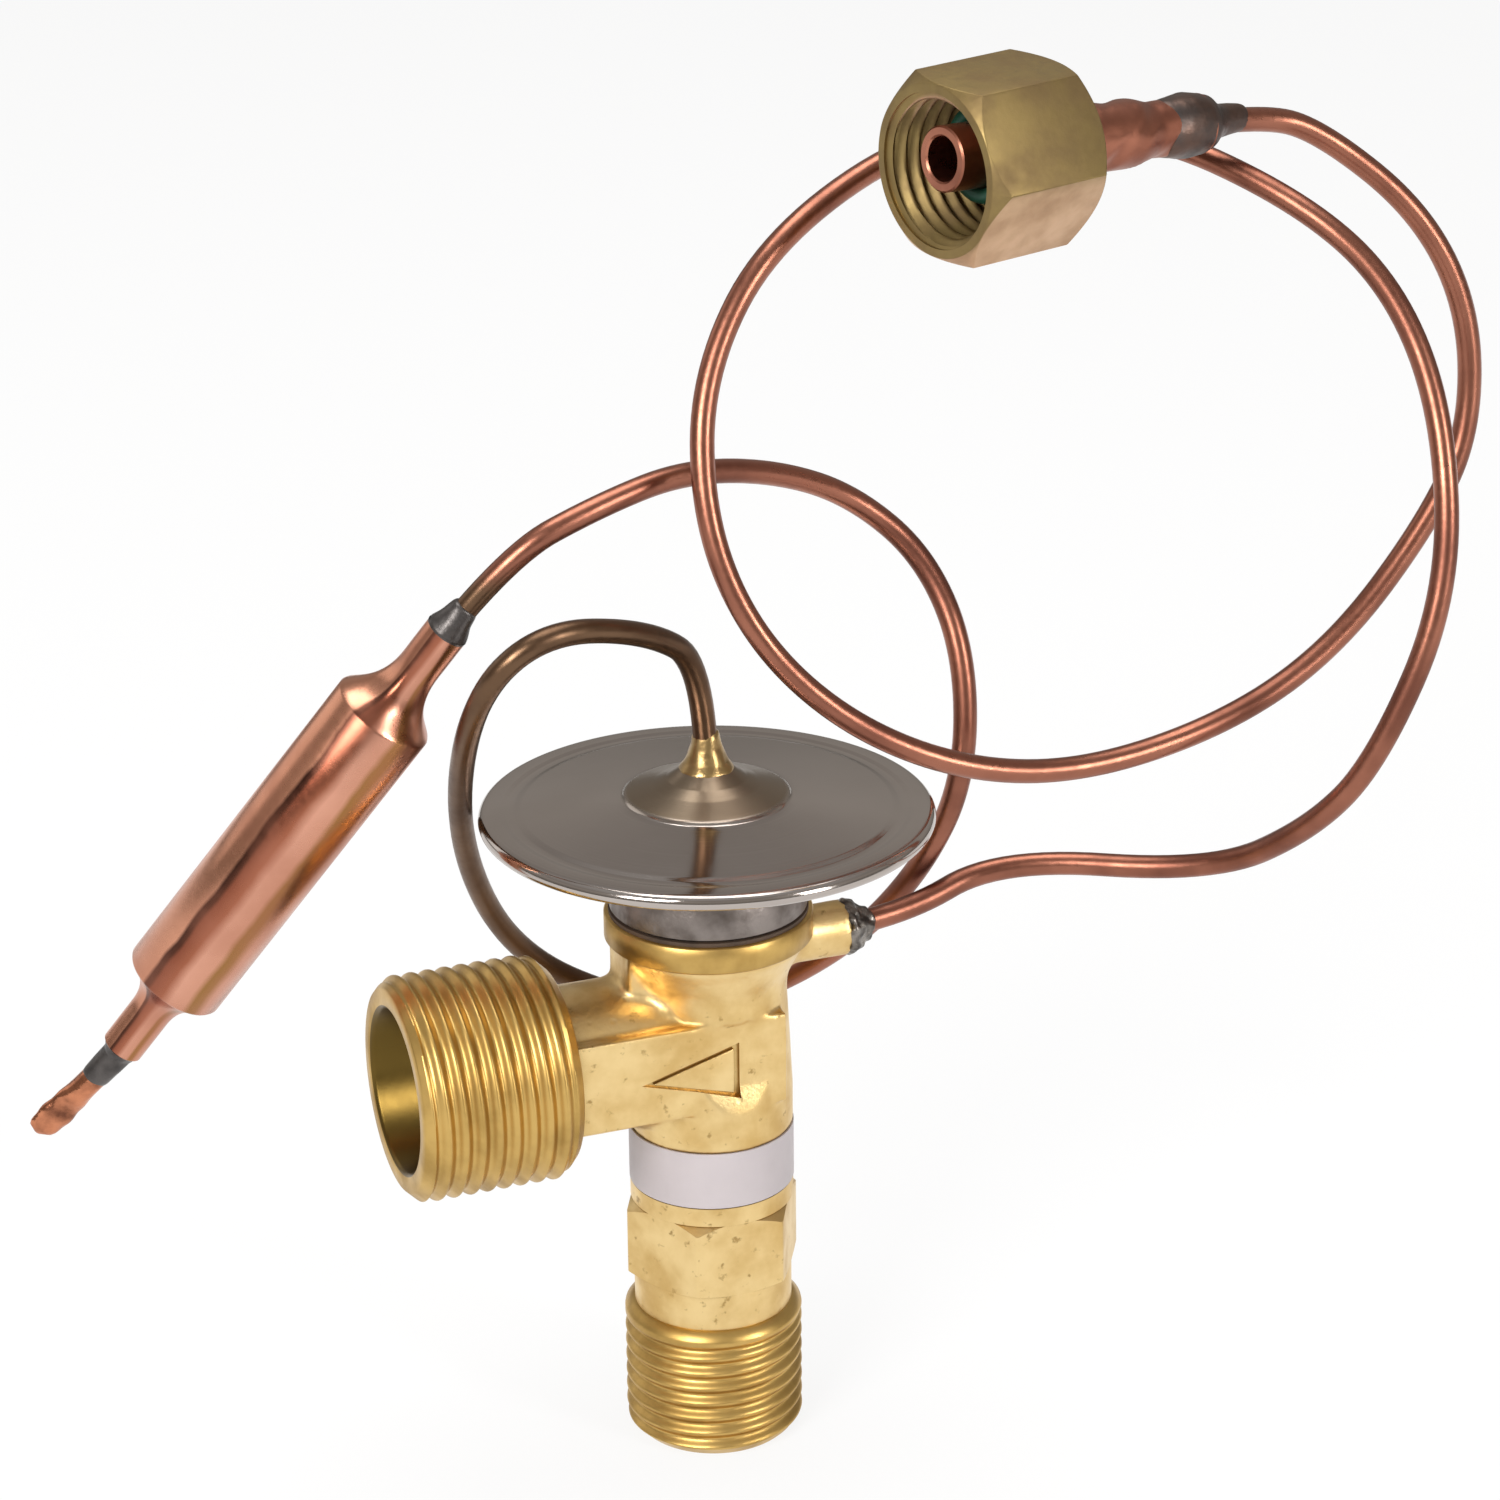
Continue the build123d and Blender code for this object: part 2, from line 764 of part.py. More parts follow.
# Sensing tube, from inside the head to inside the bulb's neck
sensing_end = bulb_neck_end + bulb_direction * (bulb_socket_depth - slip)
sensing_start = (0, 0, crown_top_z - sensing_root)
sensing_route = [sensing_start, *sensing_points, tuple(sensing_end)]
sensing_radii = corner_radii(sensing_route)
with BuildPart() as sensing_tube:
    with BuildLine():
        sensing_line = FilletPolyline(*sensing_route, radius=sensing_radii)
    with BuildSketch(Plane(origin=sensing_line @ 0, z_dir=sensing_line % 0)):
        Circle(tube_r)
        Circle(tube_bore_r, mode=Mode.SUBTRACT)
    sweep(path=sensing_line)
sensing_tube.part.label = "sensing_tube"
export_step(sensing_tube.part, "parts/sensing_tube.step")

# Bulb shell: a drawn copper tube with both ends spun down to a neck
with BuildPart() as bulb_shell:
    with BuildSketch(Plane(bulb_plane.origin, x_dir=bulb_plane.x_dir, z_dir=-bulb_plane.y_dir)):
        with BuildLine():
            Polyline((0, 0), (bulb_neck_r, 0), (bulb_neck_r, bulb_top_neck))
            Bezier(
                (bulb_neck_r, bulb_top_neck),
                (bulb_neck_r, bulb_top_neck + 0.5 * bulb_top_cone),
                (bulb_r, bulb_shoulder - 0.5 * bulb_top_cone),
                (bulb_r, bulb_shoulder),
            )
            Line((bulb_r, bulb_shoulder), (bulb_r, bulb_foot))
            Bezier(
                (bulb_r, bulb_foot),
                (bulb_r, bulb_foot + 0.3 * bulb_bottom_cone),
                (bulb_neck_r, bulb_end - bulb_bottom_neck - 0.6 * bulb_bottom_cone),
                (bulb_neck_r, bulb_end - bulb_bottom_neck),
            )
            Polyline((bulb_neck_r, bulb_end - bulb_bottom_neck), (bulb_neck_r, bulb_end), (0, bulb_end), (0, 0))
        make_face()
    revolve(axis=Axis(bulb_plane.origin, bulb_plane.z_dir))
    with BuildSketch(bulb_plane):
        Circle(tube_r + slip)
    extrude(amount=bulb_socket_depth, mode=Mode.SUBTRACT)
    with BuildSketch(bulb_plane.offset(bulb_end - bulb_socket_depth)):
        Circle(charge_tube_r + slip)
    extrude(amount=bulb_socket_depth, mode=Mode.SUBTRACT)
bulb_shell.part.label = "bulb_shell"
export_step(bulb_shell.part, "parts/bulb_shell.step")

# Solder cap on the bulb's upper neck
with BuildPart() as bulb_solder:
    with BuildSketch(bulb_plane):
        Circle(bulb_neck_r + 0.1)
        Circle(tube_r + hair, mode=Mode.SUBTRACT)
    with BuildSketch(bulb_plane.offset(-bulb_solder_length)):
        Circle(tube_r + 0.2)
        Circle(tube_r + hair, mode=Mode.SUBTRACT)
    loft()
bulb_solder.part.label = "bulb_solder"
export_step(bulb_solder.part, "parts/bulb_solder.step")

# Charging tube at the foot of the bulb: a straight stub, then leaning a little and nipped flat
charge_root = bulb_end + charge_stub
charge_lean_plane = Plane(
    origin=bulb_plane.offset(charge_root).origin,
    x_dir=bulb_plane.x_dir,
    z_dir=bulb_plane.z_dir * cos(radians(charge_lean)) - bulb_plane.y_dir * sin(radians(charge_lean)),
)
charge_round_end = charge_tube_length - charge_stub - pinch_length
charge_flat_start = charge_round_end + pinch_length / 2
with BuildPart() as charging_tube:
    with BuildSketch(bulb_plane.offset(bulb_end - bulb_socket_depth + slip)):
        Circle(charge_tube_r)
    extrude(amount=charge_root - bulb_end + bulb_socket_depth - slip)
    with BuildSketch(bulb_plane.offset(charge_root)):
        Circle(charge_tube_r)
    with BuildSketch(charge_lean_plane.offset(charge_round_end)):
        Circle(charge_tube_r)
    loft()
    with BuildSketch(charge_lean_plane.offset(charge_round_end)):
        Circle(charge_tube_r)
    with BuildSketch(charge_lean_plane.offset(charge_flat_start)):
        Ellipse(pinch_thickness / 2, pinch_width / 2)
    loft()
    with BuildSketch(charge_lean_plane.offset(charge_flat_start)):
        Ellipse(pinch_thickness / 2, pinch_width / 2)
    extrude(amount=pinch_length / 2)
charging_tube.part.label = "charging_tube"
export_step(charging_tube.part, "parts/charging_tube.step")

# Solder wiped round the charging tube
with BuildPart() as charging_solder:
    with BuildSketch(bulb_plane.offset(bulb_end)):
        Circle(charge_tube_r + 2 * charge_solder_wall)
        Circle(charge_tube_r + hair, mode=Mode.SUBTRACT)
    with BuildSketch(bulb_plane.offset(bulb_end + charge_solder_length)):
        Circle(charge_tube_r + charge_solder_wall / 2)
        Circle(charge_tube_r + hair, mode=Mode.SUBTRACT)
    loft()
charging_solder.part.label = "charging_solder"
export_step(charging_solder.part, "parts/charging_solder.step")

# Nut frame: z runs from the nut's mouth to its back
nut_direction = Vector(
    cos(radians(nut_azimuth)) * cos(radians(nut_rise)),
    sin(radians(nut_azimuth)) * cos(radians(nut_rise)),
    sin(radians(nut_rise)),
)
nut_plane = Plane(origin=nut_mouth, x_dir=(0, 0, 1), z_dir=nut_direction)

# Fitting tube frame, over the same plan line but leaning the other way, because the loose nut droops
fitting_direction = Vector(
    cos(radians(nut_azimuth)) * cos(radians(fitting_lean)),
    sin(radians(nut_azimuth)) * cos(radians(fitting_lean)),
    sin(radians(fitting_lean)),
)
fitting_zero = Vector(*nut_mouth) + Vector(0, 0, fitting_lift)
fitting_plane = Plane(
    origin=fitting_zero,
    x_dir=Vector(-sin(radians(nut_azimuth)), cos(radians(nut_azimuth)), 0),
    z_dir=fitting_direction,
)
fitting_solder_end = fitting_end + fitting_solder_length

# Equaliser tube, from inside the boss to inside the fitting tube
equaliser_last = fitting_zero + fitting_direction * (fitting_solder_end + 2.5)
equaliser_end = fitting_zero + fitting_direction * (fitting_end - fitting_grip)
equaliser_start = (boss_reach - equaliser_inset, 0, boss_height)
equaliser_route = [equaliser_start, *equaliser_points, tuple(equaliser_last), tuple(equaliser_end)]
equaliser_radii = corner_radii(equaliser_route)
with BuildPart() as equaliser_tube:
    with BuildLine():
        equaliser_line = FilletPolyline(*equaliser_route, radius=equaliser_radii)
    with BuildSketch(Plane(origin=equaliser_line @ 0, z_dir=equaliser_line % 0)):
        Circle(tube_r)
        Circle(tube_bore_r, mode=Mode.SUBTRACT)
    sweep(path=equaliser_line)
equaliser_tube.part.label = "equaliser_tube"
export_step(equaliser_tube.part, "parts/equaliser_tube.step")

# Solder fillet where the equaliser tube enters the boss
with BuildPart() as boss_solder:
    with BuildSketch(Plane.YZ.offset(boss_reach)):
        with Locations((0, boss_height)):
            Circle(boss_r - 0.15)
            Circle(tube_r + hair, mode=Mode.SUBTRACT)
    with BuildSketch(Plane.YZ.offset(boss_reach + solder_length)):
        with Locations((0, boss_height)):
            Circle(tube_r + 0.2)
            Circle(tube_r + hair, mode=Mode.SUBTRACT)
    loft()
boss_solder.part.label = "boss_solder"
export_step(boss_solder.part, "parts/boss_solder.step")

# Fitting tube: open mouth, bead, swelled body, waist and an end closed on the capillary
with BuildPart() as fitting_tube:
    with BuildSketch(Plane(fitting_plane.origin, x_dir=fitting_plane.x_dir, z_dir=-fitting_plane.y_dir)):
        with BuildLine():
            Polyline(
                (fitting_bore_r, fitting_mouth),
                (fitting_r, fitting_mouth),
                (fitting_r, fitting_bead_at),
                (fitting_bead_r - 0.3, fitting_bead_at),
                (fitting_bead_r, fitting_bead_at + 0.3),
                (fitting_bead_r, fitting_bead_at + fitting_bead - 0.6),
                (fitting_r, fitting_bead_at + fitting_bead + 0.3),
                (fitting_r, nut_length + 0.6),
                (fitting_swell_r, nut_length + 2.4),
                (fitting_swell_r, fitting_swell_end - 0.8),
            )
            Spline(
                (fitting_swell_r, fitting_swell_end - 0.8),
                (fitting_waist_r, fitting_waist_at),
                (fitting_end_r, fitting_waist_at + 2.6),
                tangents=((0, 1), (0, 1)),
            )
            Polyline(
                (fitting_end_r, fitting_waist_at + 2.6),
                (fitting_end_r, fitting_end - fitting_taper),
                (fitting_end_r - 0.7, fitting_end),
                (tube_r + slip, fitting_end),
                (tube_r + slip, fitting_end - fitting_grip - slip),
                (tube_bore_r, fitting_end - fitting_grip - slip),
                (tube_bore_r, fitting_bore_end),
                (fitting_bore_r - 0.5, fitting_bore_end - 0.6),
                (fitting_bore_r - 0.5, fitting_waist_at - 1.2),
                (fitting_bore_r, fitting_swell_end - 0.8),
                (fitting_bore_r, fitting_mouth),
            )
        make_face()
    revolve(axis=Axis(fitting_plane.origin, fitting_plane.z_dir))
fitting_tube.part.label = "fitting_tube"
export_step(fitting_tube.part, "parts/fitting_tube.step")

# Seal ring on the fitting tube, in front of its bead
with BuildPart() as fitting_seal:
    with BuildSketch(Plane(fitting_plane.origin, x_dir=fitting_plane.x_dir, z_dir=-fitting_plane.y_dir)):
        with Locations((fitting_r + fitting_seal_cord / 2 + hair, fitting_bead_at - fitting_seal_cord / 2 - hair)):
            Circle(fitting_seal_cord / 2)
    revolve(axis=Axis(fitting_plane.origin, fitting_plane.z_dir))
fitting_seal.part.label = "fitting_seal"
export_step(fitting_seal.part, "parts/fitting_seal.step")

# Solder over the closed end of the fitting tube
with BuildPart() as fitting_solder:
    with BuildSketch(fitting_plane.offset(fitting_end)):
        Circle(fitting_end_r - 0.7)
        Circle(tube_r + hair, mode=Mode.SUBTRACT)
    with BuildSketch(fitting_plane.offset(fitting_end + fitting_taper)):
        Circle(tube_r + fitting_solder_wall)
        Circle(tube_r + hair, mode=Mode.SUBTRACT)
    loft()
    with BuildSketch(fitting_plane.offset(fitting_end + fitting_taper)):
        Circle(tube_r + fitting_solder_wall)
        Circle(tube_r + hair, mode=Mode.SUBTRACT)
    extrude(amount=fitting_solder_length - fitting_taper)
fitting_solder.part.label = "fitting_solder"
export_step(fitting_solder.part, "parts/fitting_solder.step")

# Hexagon nut, chamfered at both ends, loose on the fitting tube
nut_corner_r = nut_flats / 2 / cos(radians(30))
with BuildPart() as flare_nut:
    with BuildSketch(nut_plane):
        RegularPolygon(nut_corner_r, 6, rotation=nut_corner_turn)
    extrude(amount=nut_length)
    # Both ends are turned to a cone that trims the corners
    with BuildSketch(Plane(nut_plane.origin, x_dir=nut_plane.x_dir, z_dir=-nut_plane.y_dir)):
        with BuildLine():
            Polyline(
                (0, 0),
                (nut_flats / 2, 0),
                (nut_corner_r + hair, nut_end_chamfer),
                (nut_corner_r + hair, nut_length - nut_end_chamfer),
                (nut_flats / 2, nut_length),
                (0, nut_length),
                close=True,
            )
        make_face()
    revolve(axis=Axis(nut_plane.origin, nut_plane.z_dir), mode=Mode.INTERSECT)
    # Threaded bore, inner cone and back hole
    with BuildSketch(Plane(nut_plane.origin, x_dir=nut_plane.x_dir, z_dir=-nut_plane.y_dir)):
        with BuildLine():
            Polyline(
                (0, 0),
                (nut_thread_r + 0.5, 0),
                (nut_thread_r, 0.5),
                (nut_thread_r, nut_thread_depth),
                (nut_back_hole_r, nut_thread_depth + nut_cone),
                (nut_back_hole_r, nut_length),
                (0, nut_length),
                close=True,
            )
        make_face()
    revolve(axis=Axis(nut_plane.origin, nut_plane.z_dir), mode=Mode.SUBTRACT)
flare_nut.part.label = "flare_nut"
export_step(flare_nut.part, "parts/flare_nut.step")

for name, line, radii in (
    ("sensing tube", sensing_line, sensing_radii),
    ("equaliser tube", equaliser_line, equaliser_radii),
):
    print(name, "length", round(line.length, 1), "radii", [round(r, 1) for r in radii])
for name, tube, line in (
    ("sensing tube", sensing_tube, sensing_line),
    ("equaliser tube", equaliser_tube, equaliser_line),
):
    section = pi * (tube_r**2 - tube_bore_r**2)
    print(name, "volume", round(tube.part.volume, 1), "section times length", round(section * line.length, 1))
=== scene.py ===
from math import atan2, ceil, cos, hypot, pi, radians, sin, tau
import bmesh
import bpy
from mathutils import Matrix, Vector, noise


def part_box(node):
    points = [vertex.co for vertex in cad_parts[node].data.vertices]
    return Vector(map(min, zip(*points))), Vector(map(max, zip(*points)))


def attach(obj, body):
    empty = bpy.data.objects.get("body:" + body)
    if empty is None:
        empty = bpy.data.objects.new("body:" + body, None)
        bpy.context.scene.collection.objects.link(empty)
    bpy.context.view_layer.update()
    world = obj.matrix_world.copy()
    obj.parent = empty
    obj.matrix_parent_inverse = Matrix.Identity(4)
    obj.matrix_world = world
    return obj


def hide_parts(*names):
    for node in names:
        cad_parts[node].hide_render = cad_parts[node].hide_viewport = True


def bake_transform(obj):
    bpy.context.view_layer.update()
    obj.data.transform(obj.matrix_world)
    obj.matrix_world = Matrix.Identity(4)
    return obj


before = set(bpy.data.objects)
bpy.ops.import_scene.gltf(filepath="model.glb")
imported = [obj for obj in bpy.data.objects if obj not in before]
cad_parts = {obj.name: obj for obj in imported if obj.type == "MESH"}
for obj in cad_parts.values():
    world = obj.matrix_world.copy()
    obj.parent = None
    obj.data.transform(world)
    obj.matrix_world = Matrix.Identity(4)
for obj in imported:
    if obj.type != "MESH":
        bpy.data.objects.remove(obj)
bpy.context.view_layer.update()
mm = 0.001

# Camera: a long lens, a little above the valve and to its left, as the photograph was taken.
camera_place = Vector((-115.72, -312.71, 197.35)) * mm
view_azimuth = radians(20.95)
view_elevation = radians(21.65)
view_roll = radians(0.516)
camera_data = bpy.data.cameras.new("camera")
camera_data.lens = 100.8
camera_data.sensor_width = 36.0
camera = bpy.data.objects.new("camera", camera_data)
camera.matrix_world = (
    Matrix.Translation(camera_place)
    @ Matrix.Rotation(-view_azimuth, 4, "Z")
    @ Matrix.Rotation(pi / 2 - view_elevation, 4, "X")
    @ Matrix.Rotation(-view_roll, 4, "Z")
)
bpy.context.scene.collection.objects.link(camera)
bpy.context.scene.camera = camera
bpy.context.scene.view_settings.view_transform = "Standard"


# Studio: a room that is dim behind the table and bright overhead, with a white backdrop for the camera.
# Soft boxes stand left, right, above and behind at the left, and the table is a plain pale board.
def add_node(tree, kind, inputs=None, **settings):
    """Adds a shader node with its settings; an input that is a socket is linked, any other is its value."""
    node = tree.nodes.new("ShaderNode" + kind)
    for key, value in settings.items():
        setattr(node, key, value)
    for key, value in (inputs or {}).items():
        if isinstance(value, bpy.types.NodeSocket):
            tree.links.new(value, node.inputs[key])
        else:
            node.inputs[key].default_value = value
    return node


def add_ramp(tree, source, stops, channel="Fac"):
    """Adds a colour ramp over a factor, from (position, colour) stops."""
    ramp = add_node(tree, "ValToRGB", {channel: source})
    points = ramp.color_ramp.elements
    points[0].position, points[0].color = stops[0][0], (*stops[0][1], 1)
    points[1].position, points[1].color = stops[-1][0], (*stops[-1][1], 1)
    for position, colour in stops[1:-1]:
        points.new(position).color = (*colour, 1)
    return ramp.outputs["Color"]


def calculate(tree, operation, *values):
    """A sum on sockets or numbers; returns its result."""
    return add_node(tree, "Math", dict(enumerate(values)), operation=operation).outputs[0]


world = bpy.data.worlds.new("studio")
bpy.context.scene.world = world
world.use_nodes = True
room = world.node_tree
room.nodes.clear()
direction = add_node(room, "TexCoord").outputs["Generated"]
height = add_node(room, "SeparateXYZ", {0: direction}).outputs["Z"]
walls = add_ramp(
    room,
    height,
    [
        (0.0, (0.13, 0.12, 0.105)),
        (0.15, (0.30, 0.28, 0.26)),
        (0.40, (0.40, 0.375, 0.35)),
        (0.60, (0.30, 0.28, 0.265)),
        (0.95, (0.50, 0.50, 0.50)),
    ],
)
room_light = add_node(room, "Background", {"Color": walls, "Strength": 1.0})
backdrop = add_node(room, "Background", {"Color": (1, 1, 1, 1), "Strength": 1.0})
rays = add_node(room, "LightPath").outputs
direct = calculate(room, "MAXIMUM", rays["Is Camera Ray"], rays["Is Transmission Ray"])
seen = add_node(room, "MixShader", {0: direct, 1: room_light.outputs[0], 2: backdrop.outputs[0]})
add_node(room, "OutputWorld", {"Surface": seen.outputs[0]})

board_size = 3.0
white_share = 0.85
bm = bmesh.new()
bmesh.ops.create_grid(bm, x_segments=1, y_segments=1, size=board_size)
board_mesh = bpy.data.meshes.new("table_board")
bm.to_mesh(board_mesh)
bm.free()
board = bpy.data.objects.new("table_board", board_mesh)
bpy.context.scene.collection.objects.link(board)
board_paper = bpy.data.materials.new("board_paper")
board_paper.use_nodes = True
paper = board_paper.node_tree
paper.nodes.clear()
sheet = add_node(paper, "BsdfPrincipled", {"Base Color": (0.86, 0.86, 0.86, 1), "Roughness": 0.9})
glow = add_node(paper, "Emission", {"Color": (1, 1, 1, 1), "Strength": 1.0})
rays = add_node(paper, "LightPath").outputs
direct = calculate(paper, "MAXIMUM", rays["Is Camera Ray"], rays["Is Transmission Ray"])
direct = calculate(paper, "MAXIMUM", direct, rays["Is Glossy Ray"])
share = calculate(paper, "MULTIPLY", direct, white_share)
shown = add_node(paper, "MixShader", {0: share, 1: sheet.outputs[0], 2: glow.outputs[0]})
add_node(paper, "OutputMaterial", {"Surface": shown.outputs[0]})
board_mesh.materials.append(board_paper)

soft_boxes = {
    "left_box": ((-0.52, -0.42, 0.42), 0.30, 0.30, 4.4),
    "right_box": ((0.40, -0.62, 0.30), 0.16, 0.34, 2.5),
    "top_box": ((0.05, 0.10, 0.72), 0.45, 0.45, 2.6),
    "back_box": ((-0.49, 0.58, 0.36), 0.50, 0.45, 0.5),
}
look_at = Vector((0.0, 0.0, 0.06))
for name, (place, width, tall, watts) in soft_boxes.items():
    lamp_data = bpy.data.lights.new(name, "AREA")
    lamp_data.shape = "RECTANGLE"
    lamp_data.size = width
    lamp_data.size_y = tall
    lamp_data.energy = watts
    lamp = bpy.data.objects.new(name, lamp_data)
    toward = look_at - Vector(place)
    lamp.matrix_world = Matrix.Translation(place) @ toward.to_track_quat("-Z", "Y").to_matrix().to_4x4()
    bpy.context.scene.collection.objects.link(lamp)


# Capillary tubes: drawn copper, bent by hand, one from the head to the bulb and one from the boss
# to the union. Heat from the brazing has turned the sensing tube's first bend brown.
def new_group(name, inputs, outputs):
    """A shader node group with named sockets; returns it with its input and output nodes."""
    group = bpy.data.node_groups.new(name, "ShaderNodeTree")
    for label, kind, value in inputs:
        socket = group.interface.new_socket(label, in_out="INPUT", socket_type="NodeSocket" + kind)
        socket.default_value = value
    for label, kind in outputs:
        group.interface.new_socket(label, in_out="OUTPUT", socket_type="NodeSocket" + kind)
    return group, group.nodes.new("NodeGroupInput").outputs, group.nodes.new("NodeGroupOutput").inputs


def eased(tree, source, low, high, start=0.0, end=1.0):
    """Maps a value between low and high to a factor between start and end, with soft ends."""
    inputs = {0: source, 1: low, 2: high, 3: start, 4: end}
    return add_node(tree, "MapRange", inputs, interpolation_type="SMOOTHSTEP").outputs[0]


def tint(tree, factor, plain, changed):
    """Mixes two colours, which are sockets or numbers, by a factor."""
    plain, changed = (hue if isinstance(hue, bpy.types.NodeSocket) else (*hue, 1) for hue in (plain, changed))
    return add_node(tree, "Mix", {0: factor, 6: plain, 7: changed}, data_type="RGBA").outputs[2]


grey = (0.5, 0.5, 0.5, 1.0)
tarnish_group, given, made = new_group(
    "tarnish",
    [
        ("Metal", "Color", grey),
        ("Tarnish", "Color", grey),
        ("Amount", "Float", 0.5),
        ("Patches", "Float", 200.0),
        ("Roughness", "Float", 0.3),
        ("Spread", "Float", 0.1),
        ("Grain", "Float", 4000.0),
    ],
    [("Colour", "Color"), ("Roughness", "Float"), ("Height", "Float")],
)
place = add_node(tarnish_group, "TexCoord").outputs["Object"]
patches = add_node(
    tarnish_group, "TexNoise", {"Vector": place, "Scale": given["Patches"], "Detail": 4.0, "Roughness": 0.5}
)
cover = eased(tarnish_group, patches.outputs["Fac"], 0.3, 0.78, 0.0, given["Amount"])
tinted = tint(tarnish_group, cover, given["Metal"], given["Tarnish"])
grain = add_node(tarnish_group, "TexNoise", {"Vector": place, "Scale": given["Grain"], "Detail": 3.0})
swing = calculate(tarnish_group, "SUBTRACT", grain.outputs["Fac"], 0.5)
swing = calculate(tarnish_group, "MULTIPLY_ADD", swing, given["Spread"], given["Roughness"])
dulling = 0.16
dulled = calculate(tarnish_group, "MULTIPLY_ADD", cover, dulling, swing)
tarnish_group.links.new(tinted, made["Colour"])
tarnish_group.links.new(dulled, made["Roughness"])
tarnish_group.links.new(grain.outputs["Fac"], made["Height"])


def tarnished_metal(name, metal, tarnish, amount, patches, roughness, spread, grain, depth, metallic=1.0):
    """A metal with tarnished patches and a fine grain, in nodes named skin, bump and shader."""
    material = bpy.data.materials.new(name)
    material.use_nodes = True
    tree = material.node_tree
    tree.nodes.clear()
    skin = add_node(
        tree,
        "Group",
        {
            "Metal": (*metal, 1),
            "Tarnish": (*tarnish, 1),
            "Amount": amount,
            "Patches": patches,
            "Roughness": roughness,
            "Spread": spread,
            "Grain": grain,
        },
        node_tree=tarnish_group,
        name="skin",
    )
    raised = {"Strength": 1.0, "Distance": depth * mm, "Height": skin.outputs["Height"]}
    bump = add_node(tree, "Bump", raised, name="bump")
    shader = add_node(
        tree,
        "BsdfPrincipled",
        {
            "Base Color": skin.outputs["Colour"],
            "Metallic": metallic,
            "Roughness": skin.outputs["Roughness"],
            "Normal": bump.outputs["Normal"],
        },
        name="shader",
    )
    add_node(tree, "OutputMaterial", {"Surface": shader.outputs[0]})
    return material


def show(name, mesh, *materials):
    """Puts a mesh or curve in the scene under a name, with its materials."""
    for material in materials:
        mesh.materials.append(material)
    piece = bpy.data.objects.new(name, mesh)
    bpy.context.scene.collection.objects.link(piece)
    return piece


def dress(piece, body, slot, *nodes):
    """The piece rides on its body and stands for these nodes; its slot is not used."""
    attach(piece, body)
    if nodes:
        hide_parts(*nodes)


tube_r = 1.05
sensing_root = (0, 0, 62.4)
sensing_points = [
    (0, 0, 73),
    (-6.5, -3.5, 78),
    (-17, -7.5, 80.7),
    (-22.6, -5, 74.2),
    (-19.4, 10.8, 55.5),
    (-12.3, 18, 40.5),
    (-1, 16.5, 34),
    (7, 13.5, 34),
    (16, 8.5, 40),
    (21.3, 3.3, 48.8),
    (23.8, -1, 59),
    (24.8, 1.6, 70),
    (23, 6.5, 77.5),
    (17, 8.5, 83.2),
    (9, 6.5, 87),
    (-0.5, 3, 89.2),
    (-9, 0.5, 88),
    (-17.5, -0.1, 84.8),
]
bulb_axis = Vector((-0.532, 0.288, -0.796)).normalized()
bulb_neck_end = Vector(sensing_points[-1]) + bulb_axis * 8.25
equaliser_points = [
    (10.3, 0, 46.4),
    (18, 0, 46.4),
    (28.5, 2.2, 49.6),
    (44.5, -8.5, 49.8),
    (48.5, -19, 57.5),
    (52.1, -23.2, 64.8),
    (57.6, -24.1, 79),
    (59.5, -18.5, 93),
    (57.5, -12.5, 103),
    (51.5, -6.5, 109.5),
    (43, 7, 113.7),
    (25.5, 9.5, 115),
    (7.6, 3, 108.8),
    (0, 0, 98.5),
    (-1.5, -4, 87),
    (1.5, -7.5, 77.5),
    (8.8, -10, 69.7),
    (19.4, -11, 64.2),
    (31.5, -10, 62),
    (45.5, -9.5, 64.5),
    (56.1, -8.5, 69.8),
    (65, -7.5, 79.5),
    (69.3, -6.5, 87),
    (69.5, -5, 97.5),
    (65, -3.5, 106.5),
    (56.4, -1, 113.7),
]
nut_mouth = Vector((16.2, -10.6, 116.3))
nut_azimuth = radians(16.5)
nut_rise = radians(1.5)
fitting_lean = radians(-2.6)
fitting_axis = Vector(
    (cos(nut_azimuth) * cos(fitting_lean), sin(nut_azimuth) * cos(fitting_lean), sin(fitting_lean))
)
fitting_zero = nut_mouth + Vector((0, 0, 0.9))


def bent_tube(name, points, radius):
    """A tube bent along a smooth line that is drawn by its control points."""
    curve = bpy.data.curves.new(name, "CURVE")
    curve.dimensions = "3D"
    line = curve.splines.new("NURBS")
    line.points.add(len(points) - 1)
    for knot, point in zip(line.points, points):
        knot.co = (*(Vector(point) * mm), 1.0)
    line.order_u = 3
    line.use_endpoint_u = True
    line.resolution_u = 12
    line.use_smooth = True
    curve.bevel_depth = radius * mm
    curve.bevel_resolution = 5
    curve.use_fill_caps = True
    return curve


drawn_copper = (0.37, 0.148, 0.095)
dark_copper = (0.16, 0.06, 0.04)
tube_finish = (drawn_copper, dark_copper, 0.9, 110.0, 0.29, 0.2, 1800.0, 0.01)
tube_copper = tarnished_metal("tube_copper", *tube_finish)
sensing_copper = tarnished_metal("sensing_copper", *tube_finish)
# The browned stretch is the first bend, low and left of the head's middle
tree = sensing_copper.node_tree
spot = add_node(tree, "SeparateXYZ", {0: add_node(tree, "TexCoord").outputs["Object"]})
left = eased(tree, spot.outputs["X"], 14 * mm, -2 * mm)
low = eased(tree, spot.outputs["Z"], 84.5 * mm, 81.5 * mm)
heated = calculate(tree, "MULTIPLY", left, low)
for label, plain, brown_tint_and_shade in (
    ("Metal", drawn_copper, (0.18, 0.105, 0.06)),
    ("Tarnish", dark_copper, (0.09, 0.05, 0.03)),
):
    tree.links.new(tint(tree, heated, plain, brown_tint_and_shade), tree.nodes["skin"].inputs[label])

